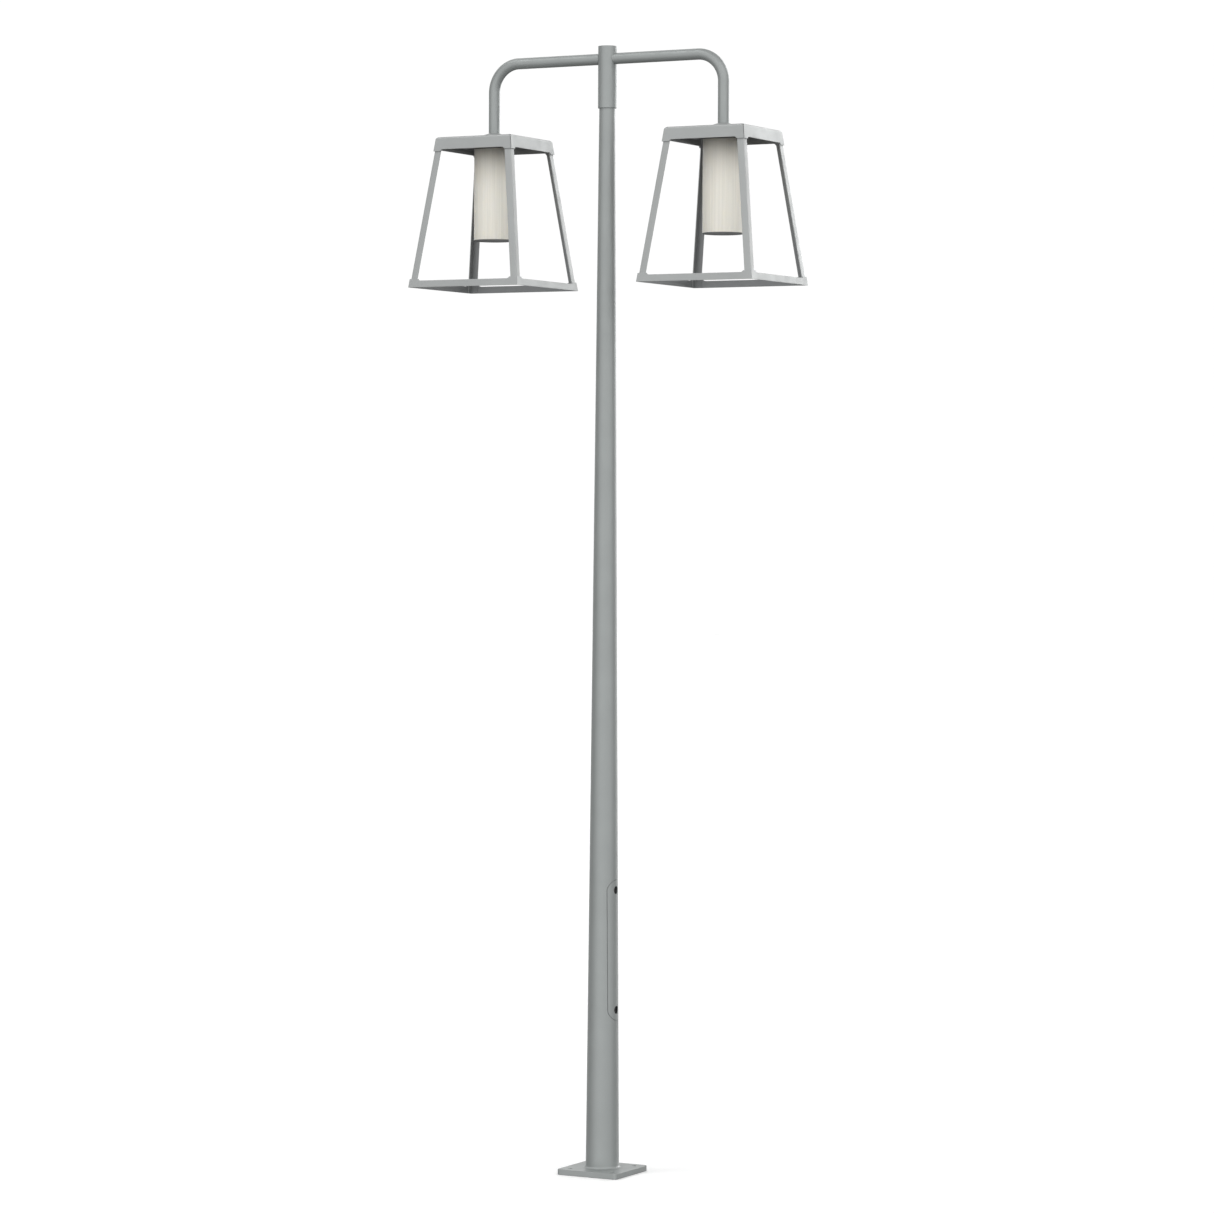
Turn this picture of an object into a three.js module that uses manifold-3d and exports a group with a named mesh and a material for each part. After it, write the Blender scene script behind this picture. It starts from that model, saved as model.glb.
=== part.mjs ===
// A twin-lantern lamp post: a conical steel column on a square base plate, a sleeve on its top
// with two bent tubular arms, and a square lantern of four splayed legs hung from each arm.
// Millimetres, +Z up. The origin is the middle of the base plate's underside. +X runs along
// the arms and out through the access door, so the lantern at +X is the right-hand one.
import * as THREE from "three";
import { mergeVertices } from "three/addons/utils/BufferGeometryUtils.js";
import Module from "manifold-3d";

const wasm = await Module();
wasm.setup();

// Clearances
const GAP = 0.3; // between fixed pieces that touch
const HOLE_GAP = 0.5; // between a hole's wall and what passes through it
const RUNNING_GAP = 0.6; // around pieces that move
const OVERCUT = 1; // how far a cutting or joining solid goes past the face it meets

// Base plate
const PLATE_SIDE = 240;
const PLATE_THICKNESS = 20;
const PLATE_CORNER_R = 12;
const PLATE_CHAMFER = 1.5;
const ANCHOR_SPACING = 168;
const ANCHOR_HOLE_R = 8;
const CABLE_HOLE_R = 42;

// Column: a steel tube that narrows evenly from foot to top
const COLUMN_FOOT_R = 59.3;
const COLUMN_TAPER = 0.0083; // radius lost for each millimetre of height
const COLUMN_WALL = 3;
const COLUMN_JOINT_RISE = 64; // the foot's upper end, above the door
const FOOT_WELD = 9;

// Access door in the column, and the two locks in it
const DOOR_WIDTH = 75;
const DOOR_LENGTH = 498;
const DOOR_BOTTOM_Z = 548;
const DOOR_GAP = 1;
const LOCK_INSET = 36; // from each end of the door to its lock
const LOCK_HOLE_R = 14;
const LOCK_DEPTH = 13;
const LOCK_CUP_WALL = 2.5;
const LOCK_HEAD_R = 11;
const LOCK_HEAD_THICKNESS = 6;
const LOCK_SLOT = 2.6;
const LOCK_SHANK_R = 4;
const LOCK_SHANK_LENGTH = 22;
const LOCK_BAR_SETBACK = 26; // from the column's face to the bar's
const LOCK_BAR_THICKNESS = 6;
const LOCK_BAR_HEIGHT = 20;

// Equipment behind the door
const RAIL_X = -14; // front face of the rail
const RAIL_THICKNESS = 5;
const RAIL_WIDTH = 44;
const RAIL_LENGTH = 340;
const RAIL_FOOT_HEIGHT = 24;
const CUTOUT_DEPTH = 32;
const CUTOUT_WIDTH = 56;
const CUTOUT_HEIGHT = 120;
const CARRIER_DEPTH = 14; // how far the fuse carrier goes into the cut-out
const CARRIER_GRIP = 8; // how far its grip stands out
const CARRIER_WIDTH = 28;
const CARRIER_HEIGHT = 66;
const EARTH_STUD_R = 4;
const EARTH_STUD_LENGTH = 22;
const EARTH_STUD_RISE = 62; // above the lower end of the door
const EARTH_NUT_R = 7.5;
const EARTH_NUT_THICKNESS = 6.5;

// Sleeve and arms
const HEIGHT = 4000; // ground to the sleeve's top
const SLEEVE_LENGTH = 219;
const SLEEVE_R = 32.9;
const SLEEVE_TOP_THICKNESS = 5;
const SLEEVE_CHAMFER = 1;
const SPIGOT_LENGTH = 150; // how far the column goes up into the sleeve
const GRUB_R = 4;
const GRUB_SOCKET_R = 2.4;
const GRUB_PROUD = 0.8;
const GRUB_RISES = [32, 96]; // above the sleeve's lower end
const ARM_DROP = 45; // from the sleeve's top to the arms' axis
const ARM_REACH = 460;
const ARM_R = 19.75;
const ARM_WALL = 3;
const ARM_BEND_R = 100;

// Lantern, measured down from the flat of its roof
const ROOF_DROP = 264.6; // from the arms' axis to the roof
const ROOF_HALF = 153.3; // half the roof's width, outside
const SPLAY = 0.1314; // half-width gained for each millimetre down
const LANTERN_HEIGHT = 539.5;
const SHEET = 4; // roof, cap walls and bottom band
const ROOF_BEND_R = 8;
const CAP_DEPTH = 44.5;
const CAP_LUG_DEPTH = 51;
const CAP_LUG_WIDTH = 28;
const CAP_LUG_FILLET = 9;
const NOTCH_R = 3.2; // relief hole where the folded cap's edges meet
const BAND_HEIGHT = 24.4;
const COLLAR_HEIGHT = 30.5;
const COLLAR_WIDTH = 32;
const COLLAR_FILLET = 12;
const LEG_FLANGE = 25;
const LEG_THICKNESS = 3;
const LEG_FOOT_GAP = 1;

// Fittings under the roof
const ROSETTE_R = 38;
const ROSETTE_EDGE = 13;
const ROSETTE_HEIGHT = 19;
const ROSETTE_TOP_R = 21.2;
const NIPPLE_WALL = 5;
const NIPPLE_RISE = 55; // inside the arm
const NIPPLE_TAIL = 5; // below the lock nut
const GEAR_PLATE_DROP = 16;
const GEAR_PLATE_THICKNESS = 2;
const GEAR_PLATE_MARGIN = 2.5;
const SPACER_WALL = 7;
const LOCK_NUT_R = 26;
const LOCK_NUT_THICKNESS = 8;
const DRIVER_LENGTH = 150;
const DRIVER_WIDTH = 52;
const DRIVER_HEIGHT = 22;
const DRIVER_CORNER_R = 4;
const HEAT_SINK_R = 60;
const HEAT_SINK_DROP = 36; // its top, below the roof
const HEAT_SINK_THICKNESS = 10;
const HEAT_SINK_POST_R = 3;
const HEAT_SINK_POST_CIRCLE_R = 48;
const LED_BOARD_R = 52;
const LED_BOARD_THICKNESS = 1.6;
const ROOF_SCREW_AT = [-18, -103];
const ROOF_SCREW_HEAD_R = 6;
const ROOF_SCREW_HEAD_HEIGHT = 4.5;
const ROOF_SCREW_R = 3;

// Diffuser: a ribbed tube closed by an end cap, turned into a holder ring under the roof
const DIFFUSER_R = 71.5;
const DIFFUSER_WALL = 3;
const DIFFUSER_BOTTOM_DROP = 367; // the end cap's underside, below the roof
const DIFFUSER_TOP_DROP = 22;
const HOLDER_WALL = 4;
const HOLDER_HEIGHT = 18;
const END_CAP_THICKNESS = 3;
const END_CAP_LIP = 0.8; // how far the end cap stands out past the tube
const END_CAP_SPIGOT = 8;

// Facets round a full circle
const COLUMN_SIDES = 36;
const TUBE_SIDES = 24;
const SMALL_SIDES = 16;
const HEXAGON = 6;
const BEND_STEPS = 9;
const CORNER_STEPS = 4;
const WELD_DISTANCE = 1e-3; // points closer than this are one

// Places that follow from the sizes above
const COLUMN_BOTTOM_Z = PLATE_THICKNESS + GAP;
const SLEEVE_BOTTOM_Z = HEIGHT - SLEEVE_LENGTH;
const COLUMN_TOP_Z = SLEEVE_BOTTOM_Z + SPIGOT_LENGTH;
const COLUMN_JOINT_Z = DOOR_BOTTOM_Z + DOOR_LENGTH + COLUMN_JOINT_RISE;
const SLEEVE_BORE_R = columnR(SLEEVE_BOTTOM_Z) + HOLE_GAP;
const ARM_Z = HEIGHT - ARM_DROP;
const ARM_BORE_R = ARM_R - ARM_WALL;
const ROOF_Z = ARM_Z - ROOF_DROP;
const DOOR_MIDDLE_Z = DOOR_BOTTOM_Z + DOOR_LENGTH / 2;
const NIPPLE_R = ARM_BORE_R - HOLE_GAP;
const NIPPLE_HOLE_R = NIPPLE_R + HOLE_GAP;
const GEAR_PLATE_BOTTOM = GEAR_PLATE_DROP + GEAR_PLATE_THICKNESS;
const LOCK_NUT_TOP = GEAR_PLATE_BOTTOM + GAP;
const LEG_INSET = SHEET + GAP;

const FINISHES = {
  powder_coat: { color: 0x9ba09e, roughness: 0.55, metalness: 0.35 },
  lantern_coat: { color: 0xa6a9a8, roughness: 0.5, metalness: 0.35 },
  zinc: { color: 0xb4b6b2, roughness: 0.4, metalness: 0.9 },
  dark_steel: { color: 0x3a3b3b, roughness: 0.45, metalness: 0.9 },
  aluminium: { color: 0xb9bbbc, roughness: 0.4, metalness: 1 },
  opal: { color: 0xe0dbcf, roughness: 0.45, metalness: 0 },
  grey_plastic: { color: 0x6d6e6c, roughness: 0.6, metalness: 0 },
  black_plastic: { color: 0x2b2b2a, roughness: 0.6, metalness: 0 },
  white_board: { color: 0xe9e9e4, roughness: 0.6, metalness: 0 },
};

// ---- Geometry helpers ----

function columnR(z) {
  return COLUMN_FOOT_R - COLUMN_TAPER * (z - PLATE_THICKNESS);
}

// Half the lantern's outside width at a drop below the roof.
function lanternHalf(drop) {
  return ROOF_HALF + SPLAY * drop;
}

function solidOf(geometry) {
  const bare = geometry.clone();
  bare.deleteAttribute("normal");
  bare.deleteAttribute("uv");
  const merged = mergeVertices(bare, WELD_DISTANCE);
  return new wasm.Manifold(new wasm.Mesh({
    numProp: 3,
    vertProperties: new Float32Array(merged.attributes.position.array),
    triVerts: new Uint32Array(merged.index.array),
  }));
}

function geometryOf(solid) {
  const made = solid.getMesh();
  const geometry = new THREE.BufferGeometry();
  const positions = new Float32Array(made.vertProperties);
  geometry.setAttribute("position", new THREE.BufferAttribute(positions, 3));
  geometry.setIndex(new THREE.BufferAttribute(new Uint32Array(made.triVerts), 1));
  geometry.computeVertexNormals();
  return geometry;
}

function cut(geometry, ...tools) {
  return geometryOf(tools.reduce((left, tool) => left.subtract(solidOf(tool)), solidOf(geometry)));
}

function join(...geometries) {
  return geometryOf(geometries.map(solidOf).reduce((whole, next) => whole.add(next)));
}

function common(geometry, other) {
  return geometryOf(solidOf(geometry).intersect(solidOf(other)));
}

// Turns a profile of [radius, height] points round Z. The profile runs anticlockwise.
function revolve(profile, sides = TUBE_SIDES) {
  const points = profile.map(([r, z]) => new THREE.Vector2(r, z));
  return new THREE.LatheGeometry(points, sides).rotateX(Math.PI / 2);
}

// Carries a profile of [half width, height] points round a square with its sides along X and Y.
function squareRevolve(profile) {
  const points = profile.map(([half, z]) => new THREE.Vector2(half * Math.SQRT2, z));
  return new THREE.LatheGeometry(points, 4, Math.PI / 4).rotateX(Math.PI / 2);
}

function rod(radius, bottom, top, sides = SMALL_SIDES) {
  return new THREE.CylinderGeometry(radius, radius, top - bottom, sides)
    .rotateX(Math.PI / 2).translate(0, 0, (top + bottom) / 2);
}

// A rod along +X from one x to another, at height z.
function rodAlongX(radius, from, to, z, sides = SMALL_SIDES) {
  return rod(radius, from, to, sides).rotateY(Math.PI / 2).translate(0, 0, z);
}

function ring(innerR, outerR, bottom, top, sides = TUBE_SIDES) {
  return revolve([[innerR, bottom], [outerR, bottom], [outerR, top], [innerR, top], [innerR, bottom]], sides);
}

function block(low, high) {
  const size = high.map((value, i) => value - low[i]);
  const middle = high.map((value, i) => (value + low[i]) / 2);
  return new THREE.BoxGeometry(...size).translate(...middle);
}

function roundedRectangle(width, height, radius) {
  const [x, y] = [width / 2 - radius, height / 2 - radius];
  const shape = new THREE.Shape();
  shape.absarc(x, -y, radius, -Math.PI / 2, 0);
  shape.absarc(x, y, radius, 0, Math.PI / 2);
  shape.absarc(-x, y, radius, Math.PI / 2, Math.PI);
  shape.absarc(-x, -y, radius, Math.PI, 1.5 * Math.PI);
  return shape;
}

function extrude(shape, depth, curveSegments = CORNER_STEPS) {
  return new THREE.ExtrudeGeometry(shape, { depth, curveSegments, bevelEnabled: false });
}

// Turns an extrusion so that its outline lies in Y and Z and its depth runs along +X.
function facingX(geometry) {
  const [x, y, z] = [new THREE.Vector3(1, 0, 0), new THREE.Vector3(0, 1, 0), new THREE.Vector3(0, 0, 1)];
  return geometry.applyMatrix4(new THREE.Matrix4().makeBasis(y, z, x));
}

function piece(name, geometry, finish) {
  const mesh = new THREE.Mesh(geometry, new THREE.MeshStandardMaterial(FINISHES[finish]));
  mesh.name = name;
  return mesh;
}

// ---- Foot and column ----

function basePlate() {
  const outline = roundedRectangle(PLATE_SIDE, PLATE_SIDE, PLATE_CORNER_R);
  const plate = new THREE.ExtrudeGeometry(outline, {
    depth: PLATE_THICKNESS - 2 * PLATE_CHAMFER,
    curveSegments: CORNER_STEPS,
    bevelSegments: 1,
    bevelThickness: PLATE_CHAMFER,
    bevelSize: PLATE_CHAMFER,
    bevelOffset: -PLATE_CHAMFER,
  }).translate(0, 0, PLATE_CHAMFER);
  const [below, above] = [-OVERCUT, PLATE_THICKNESS + OVERCUT];
  const holes = [rod(CABLE_HOLE_R, below, above, COLUMN_SIDES)];
  const at = ANCHOR_SPACING / 2;
  for (const x of [-at, at])
    for (const y of [-at, at])
      holes.push(rod(ANCHOR_HOLE_R, below, above).translate(x, y, 0));
  return cut(plate, ...holes);
}

// The weld is a ring whose outer side is a hollow quarter circle.
function footWeld() {
  const [inner, bottom] = [columnR(PLATE_THICKNESS) + GAP, COLUMN_BOTTOM_Z];
  const profile = [[inner, bottom]];
  for (let i = 0; i <= CORNER_STEPS; i++) {
    const turn = (i / CORNER_STEPS) * (Math.PI / 2);
    profile.push([inner + FOOT_WELD * (1 - Math.sin(turn)), bottom + FOOT_WELD * (1 - Math.cos(turn))]);
  }
  profile.push([inner, bottom]);
  return revolve(profile, COLUMN_SIDES);
}

// The column's wall between two heights.
function columnWall(bottom, top) {
  const [foot, head] = [columnR(bottom), columnR(top)];
  const inner = [foot - COLUMN_WALL, bottom];
  return revolve([inner, [foot, bottom], [head, top], [head - COLUMN_WALL, top], inner], COLUMN_SIDES);
}

// The space inside the column between two heights, less the gap that touching pieces keep.
function columnInside(bottom, top) {
  const [foot, head] = [bottom, top].map((z) => columnR(z) - COLUMN_WALL - GAP);
  return revolve([[0, bottom], [foot, bottom], [head, top], [0, top]], COLUMN_SIDES);
}

// A prism through the column's +X side with the door's round-ended outline.
function doorPrism(gap) {
  const [width, length] = [DOOR_WIDTH + 2 * gap, DOOR_LENGTH + 2 * gap];
  const outline = roundedRectangle(width, length, width / 2);
  return facingX(extrude(outline, 2 * COLUMN_FOOT_R, SMALL_SIDES / 2)).translate(0, 0, DOOR_MIDDLE_Z);
}

// The column's lower length, which holds the door opening.
function columnFoot() {
  return cut(columnWall(COLUMN_BOTTOM_Z, COLUMN_JOINT_Z), doorPrism(DOOR_GAP));
}

// ---- Door, locks and what is behind them ----

const LOCKS = [
  { name: "lower", z: DOOR_BOTTOM_Z + LOCK_INSET },
  { name: "upper", z: DOOR_BOTTOM_Z + DOOR_LENGTH - LOCK_INSET },
];

function accessDoor() {
  const margin = DOOR_WIDTH;
  const wall = columnWall(DOOR_BOTTOM_Z - margin, DOOR_BOTTOM_Z + DOOR_LENGTH + margin);
  const holes = LOCKS.map(({ z }) => rodAlongX(LOCK_HOLE_R, 0, 2 * COLUMN_FOOT_R, z, TUBE_SIDES));
  return cut(common(wall, doorPrism(0)), ...holes);
}

// A cup behind each lock hole, whose floor the lock screw turns in.
function lockCup(z) {
  const [face, back] = [columnR(z), columnR(z) - LOCK_DEPTH - LOCK_CUP_WALL];
  const outside = rodAlongX(LOCK_HOLE_R + LOCK_CUP_WALL, back, face, z, TUBE_SIDES);
  const recess = rodAlongX(LOCK_HOLE_R, face - LOCK_DEPTH, face + OVERCUT, z, TUBE_SIDES);
  const hole = rodAlongX(LOCK_SHANK_R + RUNNING_GAP, back - OVERCUT, face, z);
  const trimmed = common(outside, columnInside(z - DOOR_WIDTH, z + DOOR_WIDTH));
  return cut(trimmed, recess, hole);
}

function lockScrew(z) {
  const seat = columnR(z) - LOCK_DEPTH + RUNNING_GAP;
  const head = rodAlongX(LOCK_HEAD_R, seat, seat + LOCK_HEAD_THICKNESS, z, TUBE_SIDES);
  const shank = rodAlongX(LOCK_SHANK_R, seat - LOCK_SHANK_LENGTH, seat + OVERCUT, z);
  const slot = block(
    [seat + LOCK_HEAD_THICKNESS / 2, -LOCK_HEAD_R - OVERCUT, z - LOCK_SLOT / 2],
    [seat + LOCK_HEAD_THICKNESS + OVERCUT, LOCK_HEAD_R + OVERCUT, z + LOCK_SLOT / 2],
  );
  return cut(join(head, shank), slot);
}

// A flat bar welded across the column behind each lock; the screw goes through its hole.
function lockBar(z) {
  const front = columnR(z) - LOCK_BAR_SETBACK;
  const reach = COLUMN_FOOT_R;
  const bar = block(
    [front - LOCK_BAR_THICKNESS, -reach, z - LOCK_BAR_HEIGHT / 2],
    [front, reach, z + LOCK_BAR_HEIGHT / 2],
  );
  const trimmed = common(bar, columnInside(z - LOCK_BAR_HEIGHT, z + LOCK_BAR_HEIGHT));
  return cut(trimmed, rodAlongX(LOCK_SHANK_R + RUNNING_GAP, 0, COLUMN_FOOT_R, z));
}

// An upright plate with a foot at each end that reaches the back of the column.
function equipmentRail() {
  const [bottom, top] = [DOOR_MIDDLE_Z - RAIL_LENGTH / 2, DOOR_MIDDLE_Z + RAIL_LENGTH / 2];
  const half = RAIL_WIDTH / 2;
  const back = RAIL_X - RAIL_THICKNESS;
  const plate = block([back, -half, bottom], [RAIL_X, half, top]);
  const footFront = RAIL_X - RAIL_THICKNESS / 2;
  const feet = [bottom, top - RAIL_FOOT_HEIGHT].map((z) => block(
    [-COLUMN_FOOT_R, -half / 2, z],
    [footFront, half / 2, z + RAIL_FOOT_HEIGHT],
  ));
  return common(join(plate, ...feet), columnInside(bottom - OVERCUT, top + OVERCUT));
}

const CUTOUT_BACK_X = RAIL_X + GAP;
const CUTOUT_FRONT_X = CUTOUT_BACK_X + CUTOUT_DEPTH;

function cutOut() {
  const [halfWidth, halfHeight] = [CUTOUT_WIDTH / 2, CUTOUT_HEIGHT / 2];
  const body = block(
    [CUTOUT_BACK_X, -halfWidth, DOOR_MIDDLE_Z - halfHeight],
    [CUTOUT_FRONT_X, halfWidth, DOOR_MIDDLE_Z + halfHeight],
  );
  const [pocketWidth, pocketHeight] = [CARRIER_WIDTH / 2 + RUNNING_GAP, CARRIER_HEIGHT / 2 + RUNNING_GAP];
  const pocket = block(
    [CUTOUT_FRONT_X - CARRIER_DEPTH - RUNNING_GAP, -pocketWidth, DOOR_MIDDLE_Z - pocketHeight],
    [CUTOUT_FRONT_X + OVERCUT, pocketWidth, DOOR_MIDDLE_Z + pocketHeight],
  );
  return cut(body, pocket);
}

// The fuse carrier has a finger recess in each side of its grip.
function fuseCarrier() {
  const [halfWidth, halfHeight] = [CARRIER_WIDTH / 2, CARRIER_HEIGHT / 2];
  const front = CUTOUT_FRONT_X + CARRIER_GRIP;
  const body = block(
    [CUTOUT_FRONT_X - CARRIER_DEPTH, -halfWidth, DOOR_MIDDLE_Z - halfHeight],
    [front, halfWidth, DOOR_MIDDLE_Z + halfHeight],
  );
  const recesses = [-1, 1].map((side) => rod(CARRIER_GRIP / 2, -halfHeight / 2, halfHeight / 2)
    .translate(CUTOUT_FRONT_X + CARRIER_GRIP / 2, side * halfWidth, DOOR_MIDDLE_Z));
  return cut(body, ...recesses);
}

function earthStud() {
  const z = DOOR_BOTTOM_Z + EARTH_STUD_RISE;
  const wallX = -columnR(z);
  const tip = wallX + COLUMN_WALL + EARTH_STUD_LENGTH;
  const nutX = wallX + COLUMN_WALL + EARTH_STUD_LENGTH / 2;
  const inside = columnInside(z - EARTH_STUD_LENGTH, z + EARTH_STUD_LENGTH);
  const stud = common(rodAlongX(EARTH_STUD_R, wallX, tip, z), inside);
  return join(stud, rodAlongX(EARTH_NUT_R, nutX, nutX + EARTH_NUT_THICKNESS, z, HEXAGON));
}

// ---- Sleeve and arms ----

function topSleeve() {
  const ceiling = HEIGHT - SLEEVE_TOP_THICKNESS;
  const cup = revolve([
    [0, ceiling], [SLEEVE_BORE_R, ceiling], [SLEEVE_BORE_R, SLEEVE_BOTTOM_Z], [SLEEVE_R, SLEEVE_BOTTOM_Z],
    [SLEEVE_R, HEIGHT - SLEEVE_CHAMFER], [SLEEVE_R - SLEEVE_CHAMFER, HEIGHT], [0, HEIGHT],
  ], COLUMN_SIDES);
  const outside = SLEEVE_R + OVERCUT;
  const cableWay = rodAlongX(ARM_BORE_R, -outside, outside, ARM_Z, TUBE_SIDES);
  const threads = GRUB_RISES.map((rise) => rod(GRUB_R + GAP, 0, outside)
    .rotateX(-Math.PI / 2).translate(0, 0, SLEEVE_BOTTOM_Z + rise));
  return cut(cup, cableWay, ...threads);
}

// A grub screw through the sleeve's far side, with its point against the column.
function grubScrew(rise) {
  const z = SLEEVE_BOTTOM_Z + rise;
  const [point, end] = [columnR(z) + GAP, SLEEVE_R + GRUB_PROUD];
  const socket = rod(GRUB_SOCKET_R, end - GRUB_R, end + OVERCUT, HEXAGON);
  return cut(rod(GRUB_R, point, end), socket).rotateX(-Math.PI / 2).translate(0, 0, z);
}

// An arm's centre line: straight out, a quarter turn down, straight down. Its parameter takes
// one equal step for each straight and BEND_STEPS of them for the bend.
class ArmLine extends THREE.Curve {
  getUtoTmapping(u) {
    return u;
  }

  getPoint(t, target = new THREE.Vector3()) {
    const step = t * (BEND_STEPS + 2);
    const [bendX, bendZ] = [ARM_REACH - ARM_BEND_R, ARM_Z - ARM_BEND_R];
    const start = SLEEVE_R / 2;
    if (step <= 1) return target.set(start + (bendX - start) * step, 0, ARM_Z);
    if (step >= BEND_STEPS + 1) {
      const bottom = ROOF_Z + GAP;
      return target.set(ARM_REACH, 0, bendZ + (bottom - bendZ) * (step - BEND_STEPS - 1));
    }
    const turn = ((step - 1) / BEND_STEPS) * (Math.PI / 2);
    return target.set(bendX + ARM_BEND_R * Math.sin(turn), 0, bendZ + ARM_BEND_R * Math.cos(turn));
  }
}

// The right-hand arm; its inner end is shaped to the sleeve.
function arm() {
  const section = new THREE.Shape().absarc(0, 0, ARM_R, 0, 2 * Math.PI);
  section.holes.push(new THREE.Path().absarc(0, 0, ARM_BORE_R, 0, 2 * Math.PI));
  const tube = new THREE.ExtrudeGeometry(section, {
    extrudePath: new ArmLine(),
    steps: BEND_STEPS + 2,
    curveSegments: TUBE_SIDES / 2,
  });
  return cut(tube, rod(SLEEVE_R + GAP, ARM_Z - 2 * ARM_R, ARM_Z + 2 * ARM_R, COLUMN_SIDES));
}

// ---- Lantern, with its origin in the middle of the roof's outer face ----

// A prism along Y that clears a wall between its two corners, from a level downwards.
// Its upper corners are quarter ellipses, so the corners left standing have fillets.
function betweenCorners(half, level, drop, fillet) {
  const shape = new THREE.Shape();
  shape.moveTo(-half, level - drop);
  shape.absellipse(-half + fillet, level - drop, fillet, drop, Math.PI, Math.PI / 2, true);
  shape.absellipse(half - fillet, level - drop, fillet, drop, Math.PI / 2, 0, true);
  shape.lineTo(half, level - 2 * drop);
  shape.lineTo(-half, level - 2 * drop);
  const length = 2 * (lanternHalf(LANTERN_HEIGHT) + OVERCUT);
  return extrude(shape, length).translate(0, 0, -length / 2).rotateX(Math.PI / 2);
}

function bothWays(prism) {
  return [prism, prism.clone().rotateZ(Math.PI / 2)];
}

// A folded tray: flat roof, rounded top edges and sloping walls that drop lower at the corners.
function roofCap(screwAt) {
  const rim = lanternHalf(CAP_LUG_DEPTH);
  const profile = [[0, -SHEET], [lanternHalf(SHEET) - SHEET, -SHEET]];
  profile.push([rim - SHEET, -CAP_LUG_DEPTH], [rim, -CAP_LUG_DEPTH]);
  const centre = lanternHalf(ROOF_BEND_R) - ROOF_BEND_R;
  for (let i = 0; i <= CORNER_STEPS; i++) {
    const turn = (i / CORNER_STEPS) * (Math.PI / 2);
    profile.push([centre + ROOF_BEND_R * Math.cos(turn), ROOF_BEND_R * (Math.sin(turn) - 1)]);
  }
  profile.push([0, 0]);
  const clearHalf = lanternHalf(CAP_DEPTH) - CAP_LUG_WIDTH;
  const clearance = betweenCorners(clearHalf, -CAP_DEPTH, CAP_LUG_DEPTH - CAP_DEPTH, CAP_LUG_FILLET);
  const nippleHole = rod(NIPPLE_HOLE_R, -2 * SHEET, OVERCUT, TUBE_SIDES);
  const screwHole = rod(ROOF_SCREW_R + GAP, -2 * SHEET, OVERCUT).translate(...screwAt, 0);
  return cut(squareRevolve(profile), ...bothWays(clearance), nippleHole, screwHole, ...cornerNotches());
}

// A relief hole along each corner's diagonal, just below the roof's flat.
function cornerNotches() {
  const corner = ROOF_HALF - ROOF_BEND_R / 2;
  return [0, 1, 2, 3].map((quarter) => rod(NOTCH_R, -2 * SHEET, 2 * SHEET, SMALL_SIDES / 2)
    .rotateY(Math.PI / 2).translate(corner * Math.SQRT2, 0, -ROOF_BEND_R / 2)
    .rotateZ((quarter + 0.5) * (Math.PI / 2)));
}

// A square band, taller at its corners, that ties the four feet together.
function bottomFrame() {
  const [bottom, top] = [LANTERN_HEIGHT, LANTERN_HEIGHT - COLLAR_HEIGHT];
  const outer = [[lanternHalf(bottom), -bottom], [lanternHalf(top), -top]];
  const inner = outer.map(([half, z]) => [half - SHEET, z]).reverse();
  const band = squareRevolve([...outer, ...inner, outer[0]]);
  const clearHalf = lanternHalf(top) - COLLAR_WIDTH;
  const level = BAND_HEIGHT - LANTERN_HEIGHT;
  const above = betweenCorners(clearHalf, level, BAND_HEIGHT - COLLAR_HEIGHT, COLLAR_FILLET);
  return cut(band, ...bothWays(above));
}

// An upright equal angle, sheared so that it leans out along both X and Y as it goes down.
function leg(quarter) {
  const [top, bottom] = [SHEET + GAP, LANTERN_HEIGHT - LEG_FOOT_GAP];
  const heel = lanternHalf(0) - LEG_INSET;
  const [toe, inside] = [heel - LEG_FLANGE, heel - LEG_THICKNESS];
  const outline = [[heel, heel], [toe, heel], [toe, inside], [inside, inside], [inside, toe], [heel, toe]];
  const shape = new THREE.Shape(outline.map(([x, y]) => new THREE.Vector2(x, y)));
  const lean = new THREE.Matrix4().set(1, 0, -SPLAY, 0, 0, 1, -SPLAY, 0, 0, 0, 1, 0, 0, 0, 0, 1);
  return extrude(shape, bottom - top).translate(0, 0, -bottom).applyMatrix4(lean)
    .rotateZ((quarter * Math.PI) / 2);
}

function rosette() {
  const bore = ARM_R + HOLE_GAP;
  return revolve([
    [bore, GAP], [ROSETTE_R, GAP], [ROSETTE_R, ROSETTE_EDGE], [ROSETTE_TOP_R, ROSETTE_HEIGHT],
    [bore, ROSETTE_HEIGHT], [bore, GAP],
  ], COLUMN_SIDES);
}

// A threaded tube from the arm's bore down through the roof and the gear plate.
function nipple() {
  const bottom = LOCK_NUT_TOP + LOCK_NUT_THICKNESS + NIPPLE_TAIL;
  return ring(NIPPLE_R - NIPPLE_WALL, NIPPLE_R, -bottom, NIPPLE_RISE);
}

function lockNut() {
  const hexagon = rod(LOCK_NUT_R, -LOCK_NUT_TOP - LOCK_NUT_THICKNESS, -LOCK_NUT_TOP, HEXAGON);
  return cut(hexagon, rod(NIPPLE_HOLE_R, -LANTERN_HEIGHT, 0, TUBE_SIDES));
}

function spacer() {
  return ring(NIPPLE_HOLE_R, NIPPLE_HOLE_R + SPACER_WALL, -GEAR_PLATE_DROP + GAP, -SHEET - GAP);
}

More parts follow.
